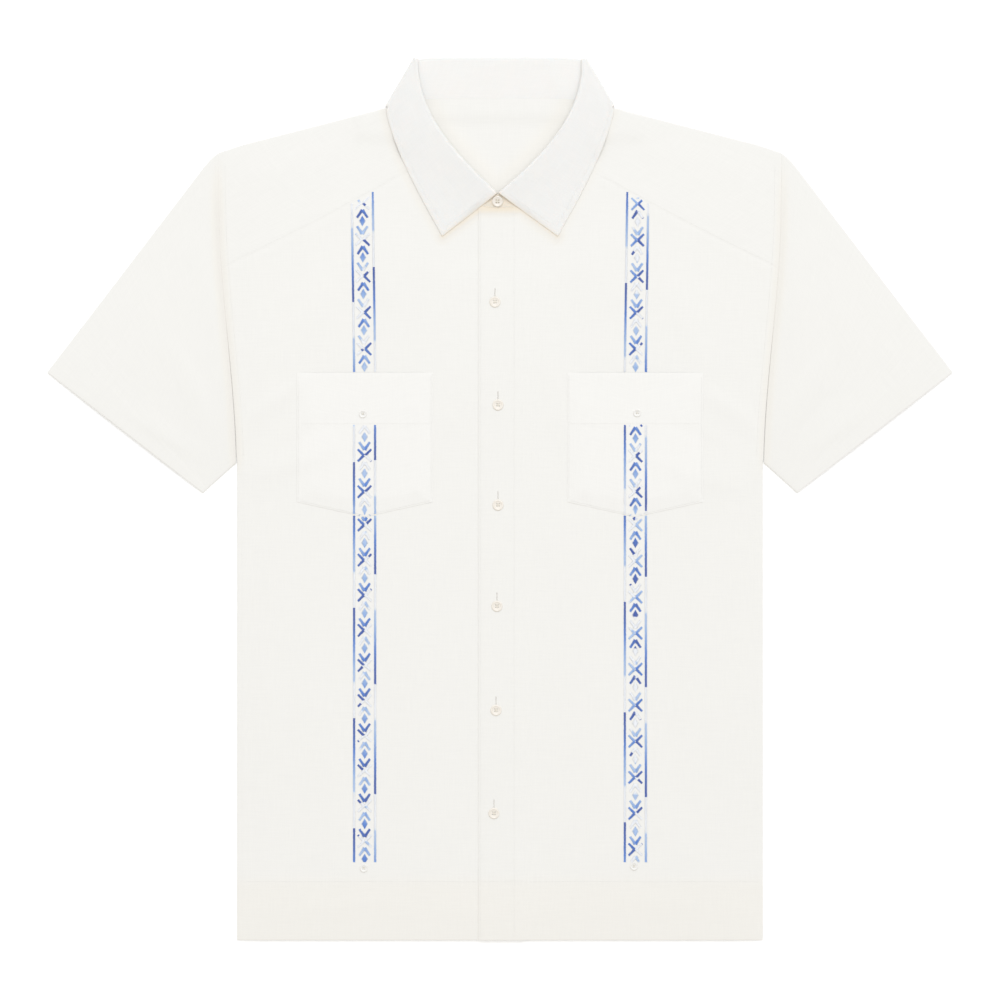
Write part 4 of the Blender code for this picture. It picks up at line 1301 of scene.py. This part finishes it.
def front_stations(half):
    """From the side fold to where the leaves meet, along one leaf."""
    _, crest_axis, edge_axis, _ = side_folds()
    start = crest_axis[:2] + SIDE_UP[:2] * ((FALL_FOLD - STAND_FOLD) / 2 + WALL / 2 + GAP)
    end = np.array((half.side * MEETING[0] + GAP, MEETING[1]))
    pull = edge_axis[:2] - np.array(LEAF_START)
    made = []
    for u in stops(ROLL_LENGTH, LEAF_STEP, first=False):
        outline, along = bezier(start, *ROLL_HANDLES, end, u)
        inward = np.array((along[1], -along[0], 0))
        bulge = unit(lerp(SIDE_UP, inward, smooth(u / BULGE_TURN)))
        crest_level = through_three(FOLD_LEVEL + STAND_FOLD, FRONT_CREST, half.crest_level, u)
        leaf_level = through_three(FOLD_LEVEL + FALL_FOLD, LEAF_LEVEL, MEETING_LEVEL, u)
        roll = (leaf_level - crest_level) / 2
        crest = np.append(outline, 0) - bulge * (roll + WALL / 2 + GAP)
        crest[2] = crest_level
        neck = neck_point(u, end[0])
        level = lapped_level if half.side > 0 else front_level
        turn = smooth(u / LEAF_TURN)
        edge = leaf_outline(u) + pull * max(0, 1 - u / LEAF_TURN) ** 3
        edge_level = HIGH + rise(*edge, 2) - LEAF_SINK * turn
        sag = LEAF_SAG * smooth((u - SAG_FROM) / (1 - SAG_FROM)) - LEAF_BOW * turn * (1 - u)
        neck, edge = np.append(neck, level(*neck)), np.append(edge, edge_level)
        made.append(Station(neck, crest, UP, bulge, roll, edge, sag))
    return made


def tab_stations(half, last):
    """The rounded end of the band, which reaches past the centre."""
    made = []
    for e in stops(TAB_LENGTH, TAB_STEP, first=False)[1:]:
        x, crest_x = (lerp(end[0], -half.tab_reach, e) for end in (last.neck, last.crest))
        share = 1 - STAND_TAB_ROUND * e**TAB_CURVE
        y = neckline_y(x, NECK_RADIUS - GAP)
        neck = np.array((x, y, half.neck_level))
        crest_level = half.neck_level + half.crest_rise * share**2
        crest = np.array((crest_x, y + STAND_TAB_HEIGHT * share, crest_level))
        made.append(last._replace(neck=neck, crest=crest))
    return made


def stand_row(station):
    """From just past the neck seam to just past the seam at the fold."""
    along = unit(station.crest - station.neck) * STAND_TUCK
    start = station.neck - along * (1 + max(-station.radial[2], 0))
    return [lerp(start, station.crest + along, share) for share in STAND_SHARES]


STAND_SHARES = stops(STAND_HEIGHT, COLLAR_STEP)
FALL_SHARES = stops(FALL_DEPTH, COLLAR_STEP, first=False)[1:]
ROLL_ANGLES = np.concatenate([(0, 0.02, 0.06, 0.13), np.linspace(0.25, pi, 15)])


def fall_row(station):
    """Over the roll and down to the outer edge."""
    centre = station.crest + station.bulge * GAP + station.radial * station.roll
    row = []
    for angle in ROLL_ANGLES:
        turn = station.bulge * sin(angle) - station.radial * cos(angle)
        row.append(centre + station.roll * turn)
    turned_over, sag = row[-1], station.sag * UP
    row += [lerp(turned_over, station.edge, share) - sag * sin(pi * share) for share in FALL_SHARES]
    return row


def lengths_from_end(grid, axis=1):
    """How far each point of a grid is from the end of its row, along the row, or of its column."""
    if axis == 0:
        return lengths_from_end(grid.transpose(1, 0, 2)).T
    steps = np.linalg.norm(np.diff(grid[:, ::-1], axis=1), axis=-1).cumsum(1)
    return np.concatenate([np.zeros((len(grid), 1)), steps], axis=1)[:, ::-1]


def drooped(grid, side):
    """The front edge of a leaf, brought down onto the cloth outside the recess."""
    x, y = side * grid[..., 0], grid[..., 1]
    below = np.where(x > -LEFT_LAP, lapped_level(x, y), front_level(x, y)) + THIN_HALF + COLLAR_HALF
    outside = smooth((grid[..., 0] - DROOP_FROM[0]) / (DROOP_FROM[1] - DROOP_FROM[0]))
    drop = np.maximum(grid[..., 2] - below, 0) * near(lengths_from_end(grid, 0), DROOP_REACH) * outside
    return np.dstack([grid[..., :2], grid[..., 2] - drop])


def rim_painted_shade(grid):
    """Painted warm shade along the free edges of the leaves."""
    front = np.minimum(lengths_from_end(grid, 0), lengths_from_end(grid[::-1], 0)[::-1])
    outer = np.where(grid[..., 0] < 0, *OUTER_PAINTED_SHADOW) * near(lengths_from_end(grid), RIM_WIDTH)
    return np.maximum(FRONT_EDGE_PAINTED_SHADE * near(front, RIM_WIDTH), outer)


def make_collar(sewing):
    """The band and the fall, each one strip from the wearer's right round the back to the left."""
    bands, falls = [], []
    for half in (RIGHT_HALF, LEFT_HALF):
        leaf = back_stations() + fold_stations() + front_stations(half)
        band = leaf + tab_stations(half, leaf[-1])
        bands.append(mirrored([stand_row(station) for station in band], half.side))
        fall = drooped(np.array([fall_row(station) for station in leaf]), half.side)
        falls.append(mirrored(fall, half.side))
    band, fall = (np.concatenate([right[::-1], left[1:]]) for right, left in (bands, falls))
    # Painted warm shade on the end of the band, in the recess where the leaves meet
    tint_and_painted_shade = recess_painted_shade(band[..., 0], band[..., 1])
    surface, normals = shell("collar_stand", band, 1.0, BAND_LIGHTENED, half=COLLAR_HALF, tint_and_painted_shade=tint_and_painted_shade)
    run(sewing, *inset(surface[:, ::-1], normals[:, ::-1], SEAM_STITCH))
    # Painted warm shade along the fall's free edges
    surface, normals = shell("collar_fall", fall, 1.0, TRIM, half=COLLAR_HALF, tint_and_painted_shade=rim_painted_shade(fall))
    sew_fall(sewing, surface, normals)


def inset(surface, normals, distance):
    """The line that lies a distance in from the last column of a grid, with its normals."""
    found = []
    for row, up, length in zip(surface, normals, lengths_from_end(surface)):
        found.append([np.interp(-distance, -length, value) for value in (*row.T, *up.T)])
    found = np.array(found)
    return found[:, :3], unit(found[:, 3:])


def sew_fall(sewing, surface, normals):
    """A line of stitches inside the fall's outer edge and the leaves' front edges."""
    along = lengths_from_end(surface[None, :, -1])[0]
    kept = np.minimum(along, along[0] - along) > COLLAR_STITCH
    path, ups = inset(surface, normals, COLLAR_STITCH)
    run(sewing, path[kept], ups[kept])
    rows, row_ups = surface.transpose(1, 0, 2), normals.transpose(1, 0, 2)
    for way in (1, -1):
        path, ups = inset(rows[:, ::way], row_ups[:, ::way], COLLAR_STITCH)
        kept = lengths_from_end(path[None])[0] > COLLAR_STITCH
        kept &= np.arange(len(path)) >= len(ROLL_ANGLES)
        run(sewing, path[kept], ups[kept])


# The pockets


def make_pocket(node, side):
    u = stops(2 * POCKET_HALF, POCKET_STEP, lines=(POCKET_STITCH, 2 * POCKET_HALF - POCKET_STITCH))
    v = stops(POCKET_TOP - POCKET_SIDE_Y, POCKET_STEP, lines=(POCKET_HEM_Y - POCKET_SIDE_Y,))
    x = POCKET_X + POCKET_HALF * (2 * u - 1)
    lower, upper = points_at(x, pocket_foot(x)), points_at(x, POCKET_TOP)
    left, right = (lerp(lower[end], upper[end], v[:, None]) for end in (0, -1))
    grid = lifted(patch(lower, upper, left, right, u, v), pocket_level, side)
    from_top, edge = POCKET_TOP - grid[..., 1], pocket_edge(grid[..., 0], grid[..., 1])
    layers = turned((from_top, POCKET_TOP - POCKET_HEM_Y), (edge, POCKET_TURNING))
    rim = near(np.minimum(edge, from_top), PRESS_ROLL)
    half = lerp(lerp(THIN_HALF, THICK_HALF, layers), PRESSED_HALF, rim)
    shell(node, grid, layers, POCKET_CLOTH, half=half.ravel())


# Sewing


def sew_line(sewing, a, b, level, under=False, count=160):
    """A straight line of stitches on a layer, or under it."""
    path = lerp(a, b, np.linspace(0, 1, count)[:, None])
    run(sewing, on_cloth(path, level, under=under), -UP if under else UP)


def sew_body(sewing):
    """The lines of stitches on the fronts, the yoke, the back and the pockets."""
    hem_y = HEM_Y + HEM_DEPTH - HEM_STITCH
    yoke_y = BACK_YOKE_Y + SEAM_STITCH
    pocket_hem_y = POCKET_HEM_Y + POCKET_HEM_STITCH
    arm_y = np.linspace(*ARMHOLE_SEWN, 160)
    reach = POCKET_HALF - POCKET_STITCH
    starts = (1, lapped_level, EDGE_STITCH - LEFT_LAP), (-1, front_level, -GAP - LEFT_LAP)
    for side, level, start in starts:
        sew_line(sewing, (start, hem_y), (side * HEM_SEWN, hem_y), level)
        seam = yoke_seam(YOKE_SEAM_SEWN, SEAM_STITCH) * (side, 1)
        run(sewing, on_cloth(seam, front_level), UP)
        arm = points_at(side * (armhole_x(arm_y) - ARMHOLE_STITCH), arm_y)
        run(sewing, on_cloth(arm, front_level), UP)
        inner, middle, outer = (side * (POCKET_X + shift) for shift in (-reach, 0, reach))
        top, low, point = POCKET_TOP - MM, POCKET_SIDE_Y + POCKET_STITCH, POCKET_POINT_Y + POCKET_STITCH
        outline = (inner, top), (inner, low), (middle, point), (outer, low), (outer, top)
        for a, b in zip(outline, outline[1:]):
            sew_line(sewing, a, b, pocket_level)
        sew_line(sewing, (inner, pocket_hem_y), (outer, pocket_hem_y), pocket_level)
        sew_line(sewing, (side * 3 * MM, hem_y), (side * HEM_SEWN, hem_y), back_level, True)
        sew_line(sewing, (side * 2 * MM, yoke_y), (side * YOKE_SEWN, yoke_y), back_level, True)
        run(sewing, on_cloth(arm, back_level, under=True), -UP)
    for x in (-LEFT_LAP + EDGE_STITCH, -LEFT_LAP + PLACKET_WIDTH - HEM_STITCH):
        top = neckline_y(x, NECK_RADIUS) - PLACKET_END
        sew_line(sewing, (x, HEM_Y + EDGE_STITCH), (x, top), lapped_level, count=300)


def sew_buttonhole(sewing, x, y):
    """Two narrow satin columns that meet at the slit, and a bar across each end."""
    bottom = y - BUTTONHOLE_START
    top = bottom + BUTTONHOLE_LENGTH
    near_slit, reach = BUTTONHOLE_SLIT / 2, BUTTONHOLE_SLIT / 2 + BUTTONHOLE_COLUMN
    rows = np.arange(bottom, top, BUTTONHOLE_PITCH)
    for way in (-1, 1):
        a = on_cloth(points_at(x + way * near_slit, rows), lapped_level)
        b = on_cloth(points_at(x + way * reach, rows + BUTTONHOLE_SLANT), lapped_level)
        sewing.add(a, b, UP, BUTTONHOLE_PAINTED_SHADE)
    for end in (bottom, top):
        for shift in BAR_STRANDS:
            a, b = on_cloth(points_at((x - reach, x + reach), end + shift), lapped_level) + BAR_LIFT * UP
            sewing.add(a, b, UP, BUTTONHOLE_PAINTED_SHADE)


# Embroidery


def band_x(y, side):
    return side * (BAND_X + BAND_LEAN * np.maximum(y - BAND_LEAN_Y, 0))


def dye_shade(phase):
    """The thread's shade, from 0 (white) to 1 (navy), at a phase of its dye cycle."""
    blue = (np.mod(phase, 1) - WHITE_SHARE) / (1 - WHITE_SHARE)
    shade = lerp(PALE_SHADE, 1, smooth((blue - PALE_UNTIL) / (1 - PALE_UNTIL)))
    return np.where(blue > 0, shade * smooth(blue / PALE_LEAD), 0)


def rail_shade(y, rail):
    share = np.mod((rail.start * MM - y) / RAIL_CYCLE, 1) / (1 - WHITE_SHARE)
    dark = np.clip(share if rail.way > 0 else 1 - share, *BLUE_RUN)
    return np.where(share < 1, dye_shade(lerp(WHITE_SHARE, 1, dark)), 0)


def satin(thread, a, b, widths, shade, level, inside):
    """Close stitches across a stroke from a to b. inside says which of them are sewn, and shade
    gives the thread's colour from how far along the stroke they are and from their height."""
    length = np.linalg.norm(b - a)
    count = max(int(length / SATIN_PITCH), 3)
    t = (np.arange(count) + 0.5) / count
    along = (b - a) / length
    across = np.array((-along[1], along[0]))
    middle = lerp(a, b, t[:, None])
    width = np.interp(t, np.linspace(0, 1, len(widths)), widths)[:, None]
    reach = width / 2 + RANDOM.normal(0, SATIN_JITTER, (2, count, 1))
    slant = along * SATIN_SLANT
    kept = inside(middle)
    if kept.any():
        starts, ends = middle - across * reach[0] - slant, middle + across * reach[1] + slant
        a, b = (on_cloth(end[kept], level, THIN_HALF) for end in (starts, ends))
        thread.add(a, b, UP, shade(t, middle[:, 1])[kept])


# The strokes of one repeat, in the order in which they are sewn: where each starts and ends beside
# and below the cross, how wide it is on its way, and how much of the repeat's thread it takes.
Stroke = namedtuple("Stroke", "start end widths thread")


def repeat_strokes(repeat):
    """A cross's right arms, the two chevrons with the diamond between, and the left arms of the
    cross below. Each arm is sewn from its tip inwards, and each chevron from its feet."""
    x, y = CROSS_REACH
    half_width, half_height = DIAMOND

    def arms(side, below):
        ends = [((side * x, way * y - below), (side * CROSS_GAP, -below)) for way in (1, -1)]
        return [Stroke(*end, ARM_WIDTHS, CROSS_THREAD) for end in ends]

    def chevron(feet, apex):
        ends = [((way * CHEVRON_HALF, feet), (0, apex)) for way in (-1, 1)]
        return [Stroke(*end, WING_WIDTHS, CHEVRON_THREAD) for end in ends]

    ends = [(0, way * half_height - DIAMOND_Y) for way in (1, -1)]
    diamond = [Stroke(*ends, (TIP_WIDTH, 2 * half_width, TIP_WIDTH), DIAMOND_THREAD)]
    upper, lower = chevron(-PEAK_Y - CHEVRON_DROP, -PEAK_Y), chevron(CHEVRON_DROP - VALLEY_Y, -VALLEY_Y)
    return arms(1, 0) + upper + diamond + lower + arms(-1, repeat)


def stretch_limits(stretch, x):
    """The highest and the lowest place of a stretch of embroidery, at each x."""
    top, foot = (stretch.top or 0) * MM, stretch.bottom * MM
    if stretch.top is None:
        top = yoke_seam_y(x) - BAND_CLEAR
    elif stretch.on == "pocket":
        foot = pocket_foot(x) + BAND_CLEAR
    else:
        top = pocket_foot(x) - BAND_CLEAR
    return top, foot


def embroider_stretch(thread, stretch):
    level = pocket_level if stretch.on == "pocket" else front_level
    side, repeat, foot = stretch.side, stretch.repeat * MM, stretch.bottom * MM

    def inside(plan):
        top, bottom = stretch_limits(stretch, plan[:, 0])
        return (plan[:, 1] < top) & (plan[:, 1] > bottom)

    def along_dye(first, last):
        return lambda t, y: dye_shade(lerp(first, last, t))

    high = stretch_limits(stretch, BAND_X - 2 * RAIL_OFFSET)[0]
    y = np.linspace(high, foot, RAIL_PARTS)
    for way, rail in ((1, stretch.outer), (-1, stretch.inner)):
        ends = points_at(band_x(y, side) + side * way * RAIL_OFFSET, y)
        for a, b in zip(ends, ends[1:]):
            satin(thread, a, b, (RAIL_WIDTH,) * 2, lambda t, y: rail_shade(y, rail), level, inside)
    for number in range(-1, int((high - foot) / repeat) + 2):
        centre_y = stretch.first * MM - number * repeat
        centre = np.array((band_x(centre_y, side), centre_y))
        begun = stretch.phase + stretch.drift * number
        for stroke in repeat_strokes(repeat):
            done = begun + stretch.way * stroke.thread
            a, b = centre + stroke.start, centre + stroke.end
            satin(thread, a, b, stroke.widths, along_dye(begun, done), level, inside)
            begun = done


def embroider(name, side):
    """One band, in its stretches above, on and below the pocket."""
    thread = Thread()
    for stretch in STRETCHES:
        if stretch.side == side:
            embroider_stretch(thread, stretch)
    thread.piece(name, DYED, "thread", SATIN_RADIUS, SATIN_ARCH)


# Buttons


def from_bmesh(name, form):
    mesh = bpy.data.meshes.new(name)
    form.to_mesh(mesh)
    form.free()
    return placed(name, mesh)


def button_blank(across):
    """A turned disc with a raised rim and a shallow dish."""
    form = bmesh.new()
    rings = []
    for ring in BUTTON_RINGS:
        radius, height = ring.radius * across / 2, ring.height * BUTTON_THICK
        angles = np.arange(BUTTON_SIDES) * 2 * pi / BUTTON_SIDES
        rings.append([form.verts.new((radius * cos(a), radius * sin(a), height)) for a in angles])
    for below, above in zip(rings, rings[1:]):
        for i in range(BUTTON_SIDES):
            k = (i + 1) % BUTTON_SIDES
            form.faces.new((below[i], below[k], above[k], above[i]))
    form.faces.new(reversed(rings[0]))
    form.faces.new(rings[-1])
    return from_bmesh("button", form)


def button_mesh(across):
    """A button with four holes, and how far its holes are to each side."""
    blank = button_blank(across)
    drill = bmesh.new()
    offset, radius = HOLE_RING * across / 2 / 2**0.5, HOLE_RADIUS * across / 2
    cylinder = {"segments": HOLE_SIDES, "radius1": radius, "radius2": radius, "depth": 4 * BUTTON_THICK}
    for x in (-offset, offset):
        for y in (-offset, offset):
            made = bmesh.ops.create_cone(drill, cap_ends=True, **cylinder)
            bmesh.ops.translate(drill, vec=(x, y, 0), verts=made["verts"])
    cutter = from_bmesh("holes", drill)
    cut = blank.modifiers.new("holes", "BOOLEAN")
    cut.operation = "DIFFERENCE"
    cut.object = cutter
    evaluated = blank.evaluated_get(bpy.context.evaluated_depsgraph_get())
    drilled = bpy.data.meshes.new_from_object(evaluated)
    drilled.shade_smooth()
    drilled.set_sharp_from_angle(angle=BUTTON_SHARP)
    for old in (blank, cutter):
        bpy.data.objects.remove(old, do_unlink=True)
    return drilled, offset


def button_seat(node, x, y):
    """The height of the cloth under a button."""
    if node.startswith("button_pocket"):
        return pocket_level(x, y) + THICK_HALF
    if node.startswith("button_band"):
        return front_level(x, y) + THIN_HALF
    return lapped_level(x, y) + THICK_HALF


def sew_button(sewing, place, hole):
    """Two crossed bundles of thread between a button's holes."""
    height = DISH * BUTTON_THICK - STRAND_SINK
    for way in (-1, 1):
        for shift in BUTTON_STRANDS:
            ends = [(end * hole + shift, way * (end * hole - shift), height, 1) for end in (-1, 1)]
            a, b = (place @ end for end in ends)
            sewing.add(a[:3], b[:3], place[:3, 2], 1.0)


def make_buttons(sewing):
    meshes = {}
    for node in sorted(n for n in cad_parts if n.startswith("button_")):
        low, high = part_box(node)
        across = round(high.x - low.x, 4)
        if across not in meshes:
            meshes[across] = button_mesh(across)
        mesh, hole = meshes[across]
        tilt = BUTTON_TILT.get(node, 0.0)
        x, y, z = ((low[k] + high[k]) / 2 for k in range(3))
        base = z - BUTTON_THICK / 2 if tilt else float(button_seat(node, x, y))
        material = PEARL if node.startswith("button_pocket") else SHADED_PEARL
        made = add_piece(f"pearl_{node}", mesh, material, (x, y, base - BUTTON_SINK))
        made.rotation_euler.x = tilt
        bpy.context.view_layer.update()
        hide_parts(node)
        sew_button(sewing, np.array(made.matrix_world), hole)
        if across > BUTTONHOLE_FROM and not tilt:
            sew_buttonhole(sewing, x, y)


# Stage


def make_stage():
    mesh = bpy.data.meshes.new("floor")
    corners = [(x, y, -FLOOR_DROP) for x, y in FLOOR_CORNERS]
    mesh.from_pydata(corners, [], [(0, 1, 2, 3)])
    glow = {"emission_color": (1, 1, 1, 1), "emission_strength": FLOOR_GLOW}
    mesh.materials.append(principled("floor", roughness=0.9, base_color=FLOOR_COLOUR, **glow)[0])
    placed("floor", mesh)


def make_light():
    """An even white room, a broad soft light from the upper right and a weak one from above."""
    world = bpy.data.worlds.new("studio")
    world.use_nodes = True
    sky = world.node_tree.nodes["Background"]
    sky.inputs["Color"].default_value = ROOM_COLOUR
    sky.inputs["Strength"].default_value = ROOM_LIGHT
    bpy.context.scene.world = world
    sun = bpy.data.lights.new("key", "SUN")
    sun.energy = KEY_LIGHT
    sun.angle = radians(KEY_SPREAD)
    top = bpy.data.lights.new("top", "AREA")
    top.size = TOP_SIZE
    top.energy = TOP_LIGHT
    for data, place in ((sun, KEY_PLACE), (top, TOP_PLACE)):
        data.color = LAMP_COLOUR
        lamp = placed(data.name, data)
        lamp.location = place
        lamp.rotation_euler = (-Vector(place)).to_track_quat("-Z", "Y").to_euler()


def make_camera():
    data = bpy.data.cameras.new("camera")
    data.lens = LENS
    data.sensor_width = SENSOR
    camera = placed("camera", data)
    camera.location = (0, PICTURE_CENTRE_Y, PICTURE_WIDTH * LENS / SENSOR + MID)
    bpy.context.scene.camera = camera
    bpy.context.scene.view_settings.view_transform = "Standard"
    bpy.context.scene.view_settings.look = "None"


def main():
    make_stage()
    make_light()
    make_camera()
    sewing = Thread()
    make_back()
    make_front("front_right", -1, RIGHT_LAP, front_level)
    make_front("front_left", 1, LEFT_LAP, lapped_level)
    make_yoke()
    make_sleeve("sleeve_left", 1, LEFT_SLEEVE_CREASES, sewing)
    make_sleeve("sleeve_right", -1, RIGHT_SLEEVE_CREASES, sewing)
    make_collar(sewing)
    make_pocket("pocket_left", 1)
    make_pocket("pocket_right", -1)
    sew_body(sewing)
    make_buttons(sewing)
    embroider("embroidery_left", 1)
    embroider("embroidery_right", -1)
    sewing.piece("sewing", SEWING, "thread", STITCH_RADIUS, STITCH_ARCH)


main()
